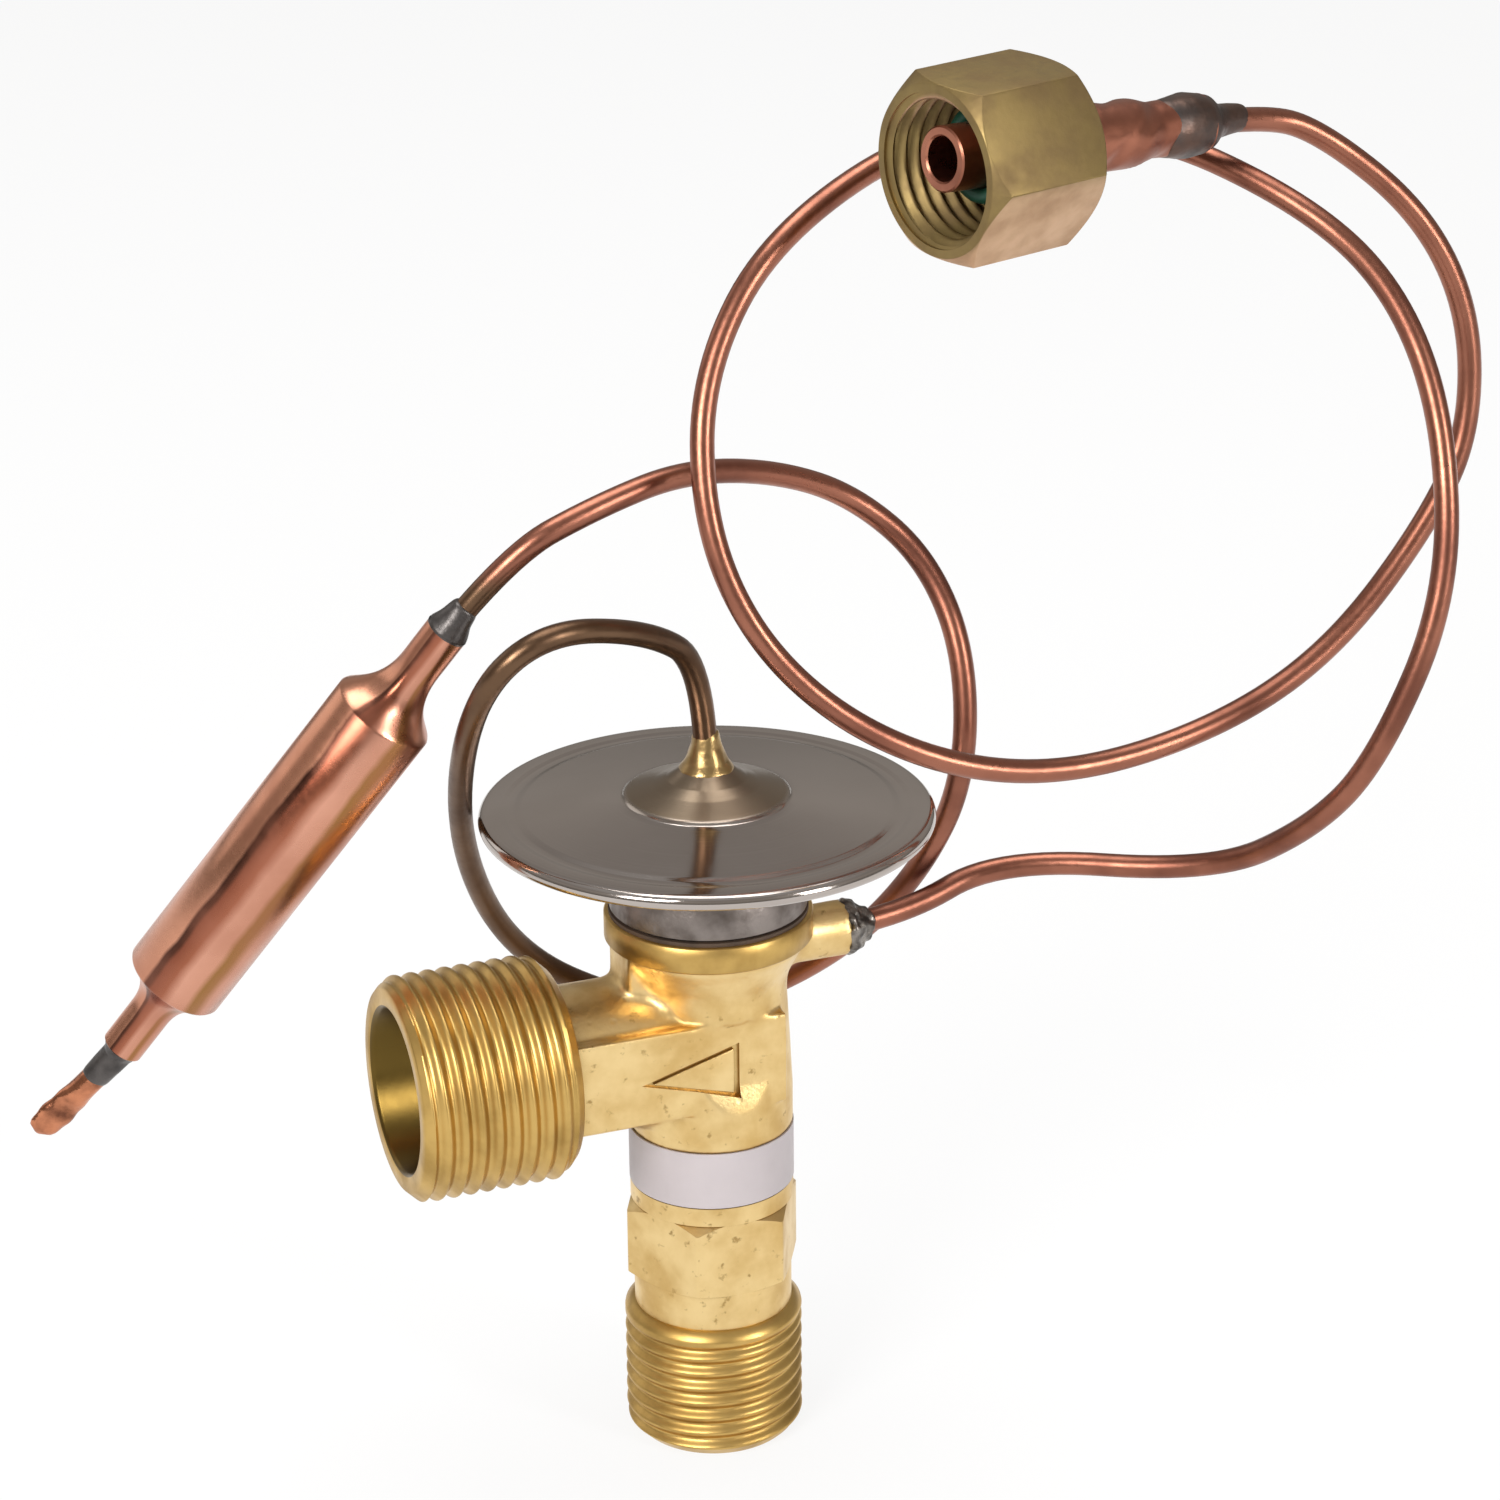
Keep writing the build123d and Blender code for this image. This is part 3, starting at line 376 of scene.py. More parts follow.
bulb_socket = 2.95
sensing_end = bulb_neck_end + bulb_axis * bulb_socket
sensing_route = [sensing_root, *sensing_points, sensing_end]
sensing_line = bent_tube("sensing_capillary", sensing_route, tube_r)
sensing_tube = show("sensing_capillary", sensing_line, sensing_copper)
dress(sensing_tube, "valve_block", "tube_copper", "sensing_tube")

fitting_end = 29.6
fitting_cap_end = 33.8
equaliser_last = fitting_zero + fitting_axis * (fitting_cap_end + 2.5)
equaliser_end = fitting_zero + fitting_axis * (fitting_end - 3.0)
equaliser_route = [*equaliser_points, equaliser_last, equaliser_end]
equaliser_line = bent_tube("equaliser_capillary", equaliser_route, tube_r)
equaliser_tube = show("equaliser_capillary", equaliser_line, tube_copper)
dress(equaliser_tube, "valve_block", "tube_copper", "equaliser_tube")


# Valve body: one brass forging, with its neck, hexagon, shoulders, arm and boss left as blasted.
# The two threaded ends and the collar are turned, and the outlet and the stem are bored.
def turned(outline, steps=96, rounding=0.0, on_axis=False):
    """Turns (radius, height) points in mm about Z; on_axis says that the outline ends on the axis."""
    bm = bmesh.new()
    corners = [bm.verts.new((radius * mm, 0, rise * mm)) for radius, rise in outline]
    for this, following in zip(corners, corners[1:]):
        bm.edges.new((this, following))
    if not on_axis:
        bm.edges.new((corners[-1], corners[0]))
    if rounding:
        inner = [v for v in corners if len(v.link_edges) == 2]
        bmesh.ops.bevel(
            bm, geom=inner, offset=rounding * mm, affect="VERTICES", segments=3, profile=0.5, material=-1
        )
    line = bm.verts[:] + bm.edges[:]
    bmesh.ops.spin(bm, geom=line, cent=(0, 0, 0), axis=(0, 0, 1), angle=tau, steps=steps, use_merge=True)
    bmesh.ops.remove_doubles(bm, verts=bm.verts, dist=0.0005 * mm)
    bmesh.ops.recalc_face_normals(bm, faces=bm.faces)
    return bm


def cut_thread(bm, crest_r, start, end, depth, pitch, run_out=0.0):
    """Cuts a right-hand thread into the outer wall between two heights, in mm."""
    for vert in bm.verts:
        radius = hypot(vert.co.x, vert.co.y) / mm
        rise = vert.co.z / mm
        if radius <= crest_r - depth or not start <= rise <= end:
            continue
        phase = (rise / pitch - atan2(vert.co.y, vert.co.x) / tau) % 1.0
        groove = 0.5 - 0.5 * cos(tau * phase)
        fade = min((end - rise) / run_out, 1.0) if run_out else 1.0
        floor_r = crest_r - depth * fade * groove
        kept = min(radius, floor_r) / radius
        vert.co.x *= kept
        vert.co.y *= kept


def stand(origin, axis, side=(0, 0, 1)):
    """The frame with its Z along an axis from an origin in mm, and its X towards a side."""
    z = Vector(axis).normalized()
    y = z.cross(Vector(side)).normalized()
    turn = Matrix((y.cross(z), y, z)).transposed()
    return Matrix.Translation(Vector(origin) * mm) @ turn.to_4x4()


def roughen(bm, swing, size):
    """Moves the surface in and out by a smooth noise of a size, both in mm."""
    bm.normal_update()
    shifts = [vert.normal * noise.noise(vert.co / (size * mm)) * swing * mm for vert in bm.verts]
    for vert, shift in zip(bm.verts, shifts):
        vert.co += shift


def smoothed(mesh, crease):
    """Shades a mesh smooth, and sharp where its faces meet at more than the crease angle."""
    mesh.shade_smooth()
    mesh.set_sharp_from_angle(angle=radians(crease))
    return mesh


def to_mesh(bm, name, crease=40):
    """Ends a bmesh as a mesh."""
    mesh = bpy.data.meshes.new(name)
    bm.to_mesh(mesh)
    bm.free()
    return smoothed(mesh, crease)


def modified(mesh, kind, **settings):
    """The mesh that one modifier makes of another."""
    carrier = bpy.data.objects.new("carrier", mesh)
    bpy.context.scene.collection.objects.link(carrier)
    step = carrier.modifiers.new("step", kind)
    for key, value in settings.items():
        setattr(step, key, value)
    result = bpy.data.meshes.new_from_object(carrier.evaluated_get(bpy.context.evaluated_depsgraph_get()))
    bpy.data.objects.remove(carrier)
    return result


def joined(mesh, operation, *others):
    """A mesh after Boolean steps with other bmeshes."""
    for other in others:
        tool = bpy.data.objects.new("tool", to_mesh(other, "tool"))
        bpy.context.scene.collection.objects.link(tool)
        mesh = modified(mesh, "BOOLEAN", object=tool, operation=operation, solver="EXACT")
        bpy.data.objects.remove(tool)
    return mesh


def add_hexagon(bm, corner_r, start, end, turn, edge):
    """Adds a hexagonal prism between two heights, with its long edges rounded."""
    placed = Matrix.Translation((0, 0, (start + end) / 2 * mm)) @ Matrix.Rotation(radians(turn), 4, "Z")
    depth = (end - start) * mm
    radius = corner_r * mm
    made = bmesh.ops.create_cone(
        bm, cap_ends=True, segments=6, radius1=radius, radius2=radius, depth=depth, matrix=placed
    )
    long_edges = {
        e for v in made["verts"] for e in v.link_edges if abs(e.verts[0].co.z - e.verts[1].co.z) > depth / 2
    }
    bmesh.ops.bevel(
        bm, geom=list(long_edges), offset=edge * mm, affect="EDGES", segments=4, profile=0.5, material=-1
    )


neck_r = 7.25
shank_r = 7.04
hex_flats = 14.0
hex_foot = 15.9
hex_top = 23.0
band_foot = 24.8
band_top = 30.1
outlet_height = 38.0

# The neck with its wrench flats
neck = turned(
    [
        (5.5, 12.0),
        (shank_r - 0.05, 12.0),
        (shank_r, 12.6),
        (shank_r, hex_foot - 0.2),
        (hex_flats / 2 - 0.02, hex_foot + 0.1),
        (hex_flats / 2 - 0.02, hex_top - 0.15),
        (neck_r, hex_top),
        (neck_r, band_foot - 0.1),
        (neck_r - 0.3, band_foot + 0.1),
        (neck_r - 0.3, band_top - 0.4),
        (5.5, band_top - 0.4),
    ],
    steps=120,
)
flats = bmesh.new()
hex_corner_r = hex_flats / 2 / cos(radians(30))
add_hexagon(flats, hex_corner_r, hex_foot, hex_top, 30, 0.22)
hex_ends = turned(
    [
        (0, hex_foot),
        (hex_flats / 2, hex_foot),
        (hex_corner_r + 0.02, hex_foot + 0.5),
        (hex_corner_r + 0.02, hex_top - 0.75),
        (hex_flats / 2 + 0.05, hex_top),
        (0, hex_top),
    ],
    on_axis=True,
)
flats = joined(to_mesh(flats, "flats"), "INTERSECT", hex_ends)
neck_bore = turned([(0, 10), (5.5, 10), (5.5, 32), (0, 32)], on_axis=True)
bm = bmesh.new()
bm.from_mesh(flats)
neck = joined(to_mesh(neck, "neck"), "UNION", bm)
neck = joined(neck, "DIFFERENCE", neck_bore)
neck = modified(neck, "BEVEL", width=0.12 * mm, segments=2, limit_method="ANGLE", angle_limit=radians(28))

# The upper blank: stem, shoulders, arm, cheeks, the web under the collar, and the boss
cheek_half_width = 6.4
cheek_half_height = 4.2
cheek_end = 4.8
arm_r = 6.7
port_back = 14.6
collar_foot = 48.0
collar_top = 50.45
collar_r = 9.1
boss_height = 46.4
boss_r = 2.45
boss_reach = 12.6
blank = turned(
    [
        (0, band_top - 0.7),
        (neck_r - 0.3, band_top - 0.7),
        (neck_r - 0.3, band_top - 0.1),
        (neck_r, band_top + 0.15),
        (neck_r, 33.8),
        (6.8, 42.2),
        (6.8, 44.3),
        (7.9, 46.6),
        (8.5, 47.6),
        (8.5, 49.5),
        (0, 49.5),
    ],
    on_axis=True,
)
for radius, start, end, height in (
    (arm_r, -port_back - 0.6, 0.0, outlet_height),
    (boss_r, 5.0, boss_reach, boss_height),
):
    middle = Vector(((start + end) / 2, 0, height)) * mm
    bmesh.ops.create_cone(
        blank,
        cap_ends=True,
        segments=72,
        radius1=radius * mm,
        radius2=radius * mm,
        depth=(end - start) * mm,
        matrix=Matrix.Translation(middle) @ Matrix.Rotation(pi / 2, 4, "Y"),
    )
for low_x, high_x, half_width, low_z, high_z in (
    (-port_back - 0.6, cheek_end, cheek_half_width, -cheek_half_height, cheek_half_height),
    (-8.3, 0.0, 2.6, 5.0, 10.0),
):
    span = Vector((high_x - low_x, 2 * half_width, high_z - low_z)) * mm
    middle = Vector(((low_x + high_x) / 2, 0, outlet_height + (low_z + high_z) / 2)) * mm
    placed = Matrix.Translation(middle) @ Matrix.Diagonal((*span, 1.0))
    bmesh.ops.create_cube(blank, size=1.0, matrix=placed)
bmesh.ops.recalc_face_normals(blank, faces=blank.faces)
blank = modified(to_mesh(blank, "blank"), "REMESH", mode="VOXEL", voxel_size=0.21 * mm)

# Every inner corner fills with a forging radius, and the outer edges soften a little
bm = bmesh.new()
bm.from_mesh(blank)
every_way = {"use_axis_x": True, "use_axis_y": True, "use_axis_z": True}
# The dies press the stem flat where the cheeks cross it, and ease out at their foot
press_foot = 2.4
press_draft = 0.32
for vert in bm.verts:
    rise = vert.co.z / mm - outlet_height + cheek_half_height
    if -port_back < vert.co.x / mm < cheek_end - 0.1 and -0.4 < rise < 2 * cheek_half_height - 0.1:
        pressed = (cheek_half_width + max(press_foot - rise, 0.0) * press_draft) * mm
        vert.co.y = min(max(vert.co.y, -pressed), pressed)
bmesh.ops.smooth_vert(bm, verts=bm.verts, factor=0.5, **every_way)
hollow = 0.004 * mm
fill_rounds = 9
strokes = 14
for _ in range(fill_rounds):
    bm.normal_update()
    hollows = set()
    for vert in bm.verts:
        by_cheek = vert.co.z < (outlet_height + cheek_half_height + 0.9) * mm and abs(vert.co.y) > 4.6 * mm
        if by_cheek and vert.co.x < 6.0 * mm:
            continue
        middle = Vector()
        for edge in vert.link_edges:
            middle += edge.other_vert(vert).co
        if (middle / len(vert.link_edges) - vert.co).dot(vert.normal) > hollow:
            hollows.add(vert)
            hollows.update(edge.other_vert(vert) for edge in vert.link_edges)
    for _ in range(strokes):
        bmesh.ops.smooth_vert(bm, verts=list(hollows), factor=0.5, **every_way)
bmesh.ops.smooth_vert(bm, verts=bm.verts, factor=0.5, **every_way)
roughen(bm, 0.035, 2.6)
blank = to_mesh(bm, "blank")

outlet_reach = 28.8
outlet_bore_r = 7.1
outlet_bore_depth = 12.2
outlet_cone = 2.6
passage_r = 3.6
into_arm = stand((-outlet_reach, 0, outlet_height), (1, 0, 0))
bore_end = outlet_bore_depth + outlet_cone
outlet_bore = [(0, -1), (outlet_bore_r, -1), (outlet_bore_r, outlet_bore_depth), (passage_r, bore_end)]
outlet_bore = turned([*outlet_bore, (passage_r, outlet_reach), (0, outlet_reach)], on_axis=True)
outlet_bore.transform(into_arm)
stem_bore = turned(
    [
        (0, 25),
        (5.2, 25),
        (5.2, 31),
        (4, 31),
        (4, 34),
        (3.2, 34),
        (3.2, outlet_height),
        (1.35, outlet_height),
        (1.35, 42.9),
        (2.5, 42.9),
        (2.5, 45.2),
        (5.5, 45.2),
        (5.5, 47),
        (7.45, 47),
        (7.45, 52),
        (0, 52),
    ],
    on_axis=True,
)
boss_bore = turned([(0, 0), (0.6, 0), (0.6, 5), (1.1, 5), (1.1, 9), (0, 9)], steps=32, on_axis=True)
boss_bore.transform(stand((5, 0, boss_height), (1, 0, 0)))

# Flow mark: a raised triangle in a shallow sunk border, pointing to the outlet
mark_length = 8.0
mark_width = 4.6
mark_middle = Vector((-mark_length / 3, -cheek_half_width, 37.6)) * mm
lying = Matrix(((0, -1, 0), (0, 0, -1), (1, 0, 0))).to_4x4()


def triangle(scale, depth, sunk):
    """A three-sided prism that lies on the front cheek, and how far its middle is sunk in it, in mm."""
    bm = bmesh.new()
    across = scale * mark_width / (2 * sin(radians(60))) * mm
    along = scale * mark_length / 1.5 * mm
    placed = Matrix.Translation(mark_middle + Vector((0, sunk, 0)) * mm) @ lying
    placed = placed @ Matrix.Diagonal((across, along, 1.0, 1.0))
    bmesh.ops.create_cone(
        bm, cap_ends=True, segments=3, radius1=1.0, radius2=1.0, depth=depth * mm, matrix=placed
    )
    bmesh.ops.recalc_face_normals(bm, faces=bm.faces)
    return bm


border = triangle(1.12, 1.4, -0.42)
blank = joined(blank, "DIFFERENCE", outlet_bore, stem_bore, boss_bore, border)
mark = triangle(0.93, 1.0, 0.4)
bmesh.ops.bevel(
    mark, geom=mark.edges[:], offset=0.12 * mm, affect="EDGES", segments=3, profile=0.5, material=-1
)

# The turned port, foot and collar
thread_pitch = 1.5
forged, turned_slot, bored = 0, 1, 2
thread_depth = 0.55
thread_row = 0.125


def threaded_end(crest_r, length, chamfer, back_chamfer, inside, run_out=0.0):
    """A turned end, threaded outside, with its mouth at height 0 and its inside as an outline."""
    rows = ceil(length / thread_row)
    outline = [(crest_r - chamfer, 0.0)]
    for row in range(1, rows + 1):
        rise = length * row / rows
        trimmed = max(chamfer - rise, rise - length + back_chamfer, 0.0)
        outline.append((crest_r - trimmed, rise))
    bm = turned(outline + inside, steps=160)
    cut_thread(bm, crest_r, 0.0, length, thread_depth, thread_pitch, run_out)
    for face in bm.faces:
        middle = face.calc_center_median()
        face.material_index = bored if hypot(middle.x, middle.y) < (crest_r - 2.0) * mm else turned_slot
    return bm


port = threaded_end(
    9.85,
    outlet_reach - port_back,
    1.0,
    1.2,
    [
        (5.3, 14.2),
        (5.3, 13.55),
        (outlet_bore_r, outlet_bore_depth),
        (outlet_bore_r, 0.35),
        (outlet_bore_r + 0.35, 0.0),
    ],
)
port.transform(into_arm)
foot = threaded_end(
    7.95,
    11.6,
    1.0,
    0.0,
    [
        (7.9, 11.85),
        (7.3, 12.45),
        (7.0, 12.6),
        (5.5, 12.6),
        (5.5, 9.6),
        (6.2, 9.6),
        (6.2, 4.0),
        (6.4, 4.0),
        (6.4, 0.25),
        (6.6, 0.0),
    ],
    run_out=0.9,
)
collar = turned(
    [
        (7.45, 47.2),
        (7.45, collar_top - 0.2),
        (7.65, collar_top),
        (collar_r - 0.15, collar_top),
        (collar_r, collar_top - 0.15),
        (collar_r, collar_foot + 0.2),
        (collar_r - 0.2, collar_foot),
        (8.55, collar_foot - 0.05),
        (8.0, collar_foot - 0.6),
    ],
    steps=160,
)

body = bmesh.new()
for piece in (neck, blank):
    piece = smoothed(piece, 35)
    for polygon in piece.polygons:
        polygon.material_index = forged
    body.from_mesh(piece)
body.from_mesh(to_mesh(mark, "mark"))
for face in collar.faces:
    face.material_index = turned_slot
for piece in (port, foot, collar):
    body.from_mesh(to_mesh(piece, "end", crease=75))
body_mesh = bpy.data.meshes.new("valve_body")
body.to_mesh(body_mesh)
body.free()

forged_yellow = (0.86, 0.64, 0.305)
forged_brass = tarnished_metal(
    "forged_brass", forged_yellow, (0.60, 0.39, 0.135), 0.9, 230.0, 0.33, 0.16, 2600.0, 0.02
)
tree = forged_brass.node_tree
skin = tree.nodes["skin"]
place = add_node(tree, "TexCoord").outputs["Object"]
pits = add_node(tree, "TexVoronoi", {"Vector": place, "Scale": 620.0})
dent = eased(tree, pits.outputs["Distance"], 0.05, 0.24)
pitted = add_node(tree, "Bump", {"Strength": 0.5, "Distance": 0.05 * mm, "Height": dent})
tree.links.new(pitted.outputs["Normal"], tree.nodes["bump"].inputs["Normal"])
# Scale from the forging heat is left as small brown specks
scale = add_node(tree, "TexNoise", {"Vector": place, "Scale": 820.0, "Detail": 3.0, "Roughness": 0.6})
speck = eased(tree, scale.outputs["Fac"], 0.62, 0.74, end=0.8)
tree.links.new(tint(tree, speck, forged_yellow, (0.27, 0.16, 0.05)), skin.inputs["Metal"])
# Corners and creases that the occlusion reaches are tinted brown: painted shade in the forging's hollows
crease_occlusion = add_node(tree, "AmbientOcclusion", {"Distance": 2.2 * mm}, samples=8)
brown_tint_and_shade = eased(tree, crease_occlusion.outputs["AO"], 0.86, 0.45, end=0.75)
hue = tint(tree, brown_tint_and_shade, skin.outputs["Colour"], (0.36, 0.21, 0.05))
tree.links.new(hue, tree.nodes["shader"].inputs["Base Color"])
turned_brass = tarnished_metal(
    "turned_brass", (0.64, 0.42, 0.135), (0.34, 0.205, 0.055), 0.8, 240.0, 0.34, 0.1, 1500.0, 0.004
)
# The bores get a much darker brass than the outside: painted shade inside the bores
bore_shade_brass = tarnished_metal(
    "bore_shade_brass", (0.15, 0.095, 0.022), (0.09, 0.055, 0.014), 0.5, 120.0, 0.3, 0.08, 1500.0, 0.004
)
valve_body = show("valve_body_forging", body_mesh, forged_brass, turned_brass, bore_shade_brass)
dress(valve_body, "valve_block", "body_brass", "valve_body")


# Painted band: a coat of pale lavender grey paint on the neck; the brass that shows at its worn edge is not
# drawn.
# The solid of the frame has its shape, and it takes the paint here.
def finish(material, *nodes):
    """Gives a material to nodes of the frame."""
    for name in nodes:
        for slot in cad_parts[name].material_slots:
            slot.material = material


band_paint = tarnished_metal(
    "band_paint", (0.475, 0.43, 0.44), (0.39, 0.35, 0.36),
    0.5, 160.0, 0.42, 0.2, 1400.0, 0.03, metallic=0.0
)
finish(band_paint, "colour_band")


# Inside the stem: a pressed brass orifice, a steel ball in its carrier on a wound spring, the adjusting
# nut under it, the push rod with its rubber seal and bush, and the strainer with its snap ring.
inner_brass = tarnished_metal(
    "inner_brass", (0.76, 0.54, 0.26), (0.46, 0.30, 0.14), 0.4, 150.0, 0.24, 0.12, 1800.0, 0.012
)
finish(inner_brass, "orifice_insert", "gland_bush", "adjusting_nut", "inlet_strainer")
bright_steel = tarnished_metal(
    "bright_steel", (0.60, 0.59, 0.57), (0.38, 0.36, 0.34), 0.3, 180.0, 0.18, 0.1, 1900.0, 0.008
)
finish(bright_steel, "push_rod", "valve_ball", "ball_carrier", "spring_seat", "buffer_plate", "diaphragm")
spring_steel = tarnished_metal(
    "spring_steel", (0.36, 0.35, 0.34), (0.16, 0.14, 0.13), 0.5, 240.0, 0.3, 0.15, 1700.0, 0.015
)
finish(spring_steel, "strainer_ring")
# The spring is one coil in two halves, a lower and an upper one, which meet in the middle
spring_wire_r = 0.45 * mm
wire_sides = 16
spring_turns = 6
steps_per_turn = 40
spring_low, spring_high = (Vector(corner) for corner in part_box("superheat_spring"))
spring_middle = (spring_low.z + spring_high.z) / 2
half_steps = spring_turns * steps_per_turn // 2
step_rise = (spring_high.z - spring_low.z - 2 * spring_wire_r) / (2 * half_steps)
for name, start_z, mover, mover_z in (
    ("superheat_spring_lower", spring_low.z + spring_wire_r, "spring_rest", spring_low.z),
    ("superheat_spring_upper", spring_middle, "needle", spring_high.z),
):
    coil = bmesh.new()
    coil_start = (spring_high.x - spring_wire_r, 0, start_z)
    wire_round = Matrix.Translation(coil_start) @ Matrix.Rotation(pi / 2, 4, "X")
    bmesh.ops.create_circle(coil, segments=wire_sides, radius=spring_wire_r, matrix=wire_round)
    bmesh.ops.spin(
        coil,
        geom=coil.verts[:] + coil.edges[:],
        axis=(0, 0, 1),
        dvec=(0, 0, step_rise),
        angle=tau * spring_turns / 2,
        steps=half_steps,
    )
    bmesh.ops.holes_fill(coil, edges=[e for e in coil.edges if e.is_boundary], sides=wire_sides)
    bmesh.ops.recalc_face_normals(coil, faces=coil.faces)
    spring = show(name, to_mesh(coil, name), spring_steel)
    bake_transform(spring)
    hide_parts("superheat_spring")
black_rubber = tarnished_metal(
    "black_rubber", (0.018, 0.018, 0.02), (0.05, 0.047, 0.045),
    0.5, 300.0, 0.55, 0.2, 2200.0, 0.02, metallic=0.0
)
finish(black_rubber, "rod_seal")


# Power head: a steel neck, on a brown gasket, brazed to two stamped stainless covers that are welded
# at the rim. The covers are spun bright, with fine rings all round, and the upper one is drawn to a cone.
gasket_brown = tarnished_metal(
    "gasket_brown", (0.085, 0.052, 0.032), (0.03, 0.02, 0.014),
    0.7, 420.0, 0.6, 0.2, 2200.0, 0.02, metallic=0.0
)
finish(gasket_brown, "head_gasket")
neck_steel = tarnished_metal(
    "neck_steel", (0.27, 0.235, 0.215), (0.11, 0.09, 0.078), 0.9, 420.0, 0.38, 0.3, 1900.0, 0.04
)
head_neck_mesh = turned(
    [
        (3.0, 47.6),
        (7.3, 47.6),
        (7.4, 50.8),
        (8.35, 50.8),
        (8.6, 51.05),
        (8.6, 54.3),
        (8.35, 54.6),
        (6.4, 54.6),
        (6.4, 51.8),
        (3.0, 51.8),
    ],
    steps=144,
)
head_neck = show("head_neck_ring", to_mesh(head_neck_mesh, "head_neck_ring"), neck_steel)
dress(head_neck, "valve_block", "steel", "head_neck")

spun_bright = (0.50, 0.45, 0.415)
spun_dull = (0.38, 0.33, 0.29)
spun_roughness = 0.1
spun_steel = tarnished_metal(
    "spun_steel", spun_bright, spun_dull, 0.4, 75.0, spun_roughness, 0.05, 900.0, 0.002
)
tree = spun_steel.node_tree
skin = tree.nodes["skin"]
place = add_node(tree, "TexCoord").outputs["Object"]
flat_place = add_node(tree, "VectorMath", {0: place, 1: (1, 1, 0)}, operation="MULTIPLY")
radius_out = add_node(tree, "VectorMath", {0: flat_place.outputs[0]}, operation="LENGTH").outputs["Value"]
rings = add_node(tree, "TexNoise", {"W": radius_out, "Scale": 6500.0, "Detail": 3.0}, noise_dimensions="1D")
ringed = add_node(tree, "Bump", {"Strength": 0.6, "Distance": 0.012 * mm, "Height": rings.outputs["Fac"]})
tree.links.new(ringed.outputs["Normal"], tree.nodes["bump"].inputs["Normal"])
# Brazing heat has browned and dulled the drawn cone
crown_heat = eased(tree, radius_out, 7.5 * mm, 6.7 * mm)
for label, plain, brown_tint_and_shade in (
    ("Metal", spun_bright, (0.26, 0.20, 0.14)),
    ("Tarnish", spun_dull, (0.18, 0.13, 0.085)),
):
    tree.links.new(tint(tree, crown_heat, plain, brown_tint_and_shade), skin.inputs[label])
dulled = add_node(tree, "MapRange", {0: crown_heat, 3: spun_roughness, 4: 0.28})
tree.links.new(dulled.outputs[0], skin.inputs["Roughness"])

upper_mesh = turned(
    [
        (1.1, 62.8),
        (1.1, 63.6),
        (2.2, 63.6),
        (2.7, 63.2),
        (3.5, 62.62),
        (4.6, 62.1),
        (5.8, 61.7),
        (6.85, 61.36),
        (7.1, 61.26),
        (7.3, 61.0),
        (8.0, 60.9),
        (16.0, 60.07),
        (16.6, 59.9),
        (17.2, 59.85),
        (17.8, 59.95),
        (19.0, 59.86),
        (19.32, 59.78),
        (19.58, 59.54),
        (19.7, 59.15),
        (19.58, 58.78),
        (19.32, 58.53),
        (19.0, 58.45),
        (18.75, 58.55),
        (18.75, 59.0),
        (17.1, 59.22),
        (16.3, 59.4),
        (6.9, 60.25),
        (3.0, 62.32),
    ],
    steps=192,
    rounding=0.12,
)
upper_cover = show("upper_cover_stamping", to_mesh(upper_mesh, "upper_cover_stamping"), spun_steel)
dress(upper_cover, "valve_block", "steel", "upper_cover")
lower_mesh = turned(
    [
        (6.4, 54.6),
        (9.2, 54.6),
        (9.8, 54.78),
        (17.1, 58.27),
        (17.6, 58.45),
        (18.9, 58.5),
        (18.9, 59.05),
        (17.1, 59.05),
        (9.1, 55.4),
        (6.4, 55.4),
    ],
    steps=192,
    rounding=0.12,
)
lower_cover = show("lower_cover_stamping", to_mesh(lower_mesh, "lower_cover_stamping"), spun_steel)
dress(lower_cover, "valve_block", "steel", "lower_cover")

nipple_brass = tarnished_metal(
    "nipple_brass", (0.44, 0.30, 0.125), (0.22, 0.135, 0.06), 0.8, 420.0, 0.28, 0.12, 2600.0, 0.03
)
nipple_mesh = turned(
    [
        (0, 62.9),
        (2.45, 62.9),
        (2.4, 63.5),
        (1.95, 64.1),
        (1.6, 64.8),
        (1.35, 65.6),
        (1.2, 66.4),
        (1.0, 66.9),
        (0, 66.95),
    ],
    steps=64,
    rounding=0.2,
    on_axis=True,
)
roughen(nipple_mesh, 0.05, 0.8)
nipple = show("brazed_nipple", to_mesh(nipple_mesh, "brazed_nipple"), nipple_brass)
dress(nipple, "valve_block", "nipple_brass", "head_nipple")


# Sensing bulb: drawn copper tube, spun down to a neck at each end. The sensing tube is soldered into
# the upper neck, and the filling tube in the lower one is nipped shut.
bulb_r = 4.45
bulb_neck_r = 1.85
bulb_neck = 3.75
bulb_shoulder = 9.4
bulb_foot = 41.55
bulb_lower_cone = 4.1
bulb_end = 50.15


def spun_down(start, first_pull, last_pull, end, count=9):
    """Points in mm of the cubic between two (radius, height) points that two pull points draw."""
    points = []
    for row in range(count + 1):
        t = row / count
        weights = ((1 - t) ** 3, 3 * t * (1 - t) ** 2, 3 * t * t * (1 - t), t**3)
        drawn = zip(weights, (start, first_pull, last_pull, end))
        points.append(tuple(sum((Vector(point) * weight for weight, point in drawn), Vector((0, 0)))))
    return points


bulb_frame = stand(bulb_neck_end, bulb_axis, (0.22, 0.97, 0.11))
shell = [(0, 0), (bulb_neck_r - 0.15, 0), (bulb_neck_r, 0.15), (bulb_neck_r, 2.4)]
shoulder_start = (bulb_r - 0.12, bulb_shoulder - 0.1)
foot_start = (bulb_r - 0.12, bulb_foot + 0.1)
foot_end = (bulb_neck_r, bulb_foot + bulb_lower_cone)
shell += spun_down((bulb_neck_r, bulb_neck), (1.85, 6.9), (3.2, 8.0), shoulder_start, 14)
shell += [(bulb_r, bulb_shoulder + 0.1), (bulb_r, bulb_foot - 0.1)]
shell += spun_down(foot_start, (3.1, 42.5), (1.85, 43.4), foot_end, 12)
shell += [(bulb_neck_r, bulb_end - 0.15), (bulb_neck_r - 0.15, bulb_end), (0, bulb_end)]
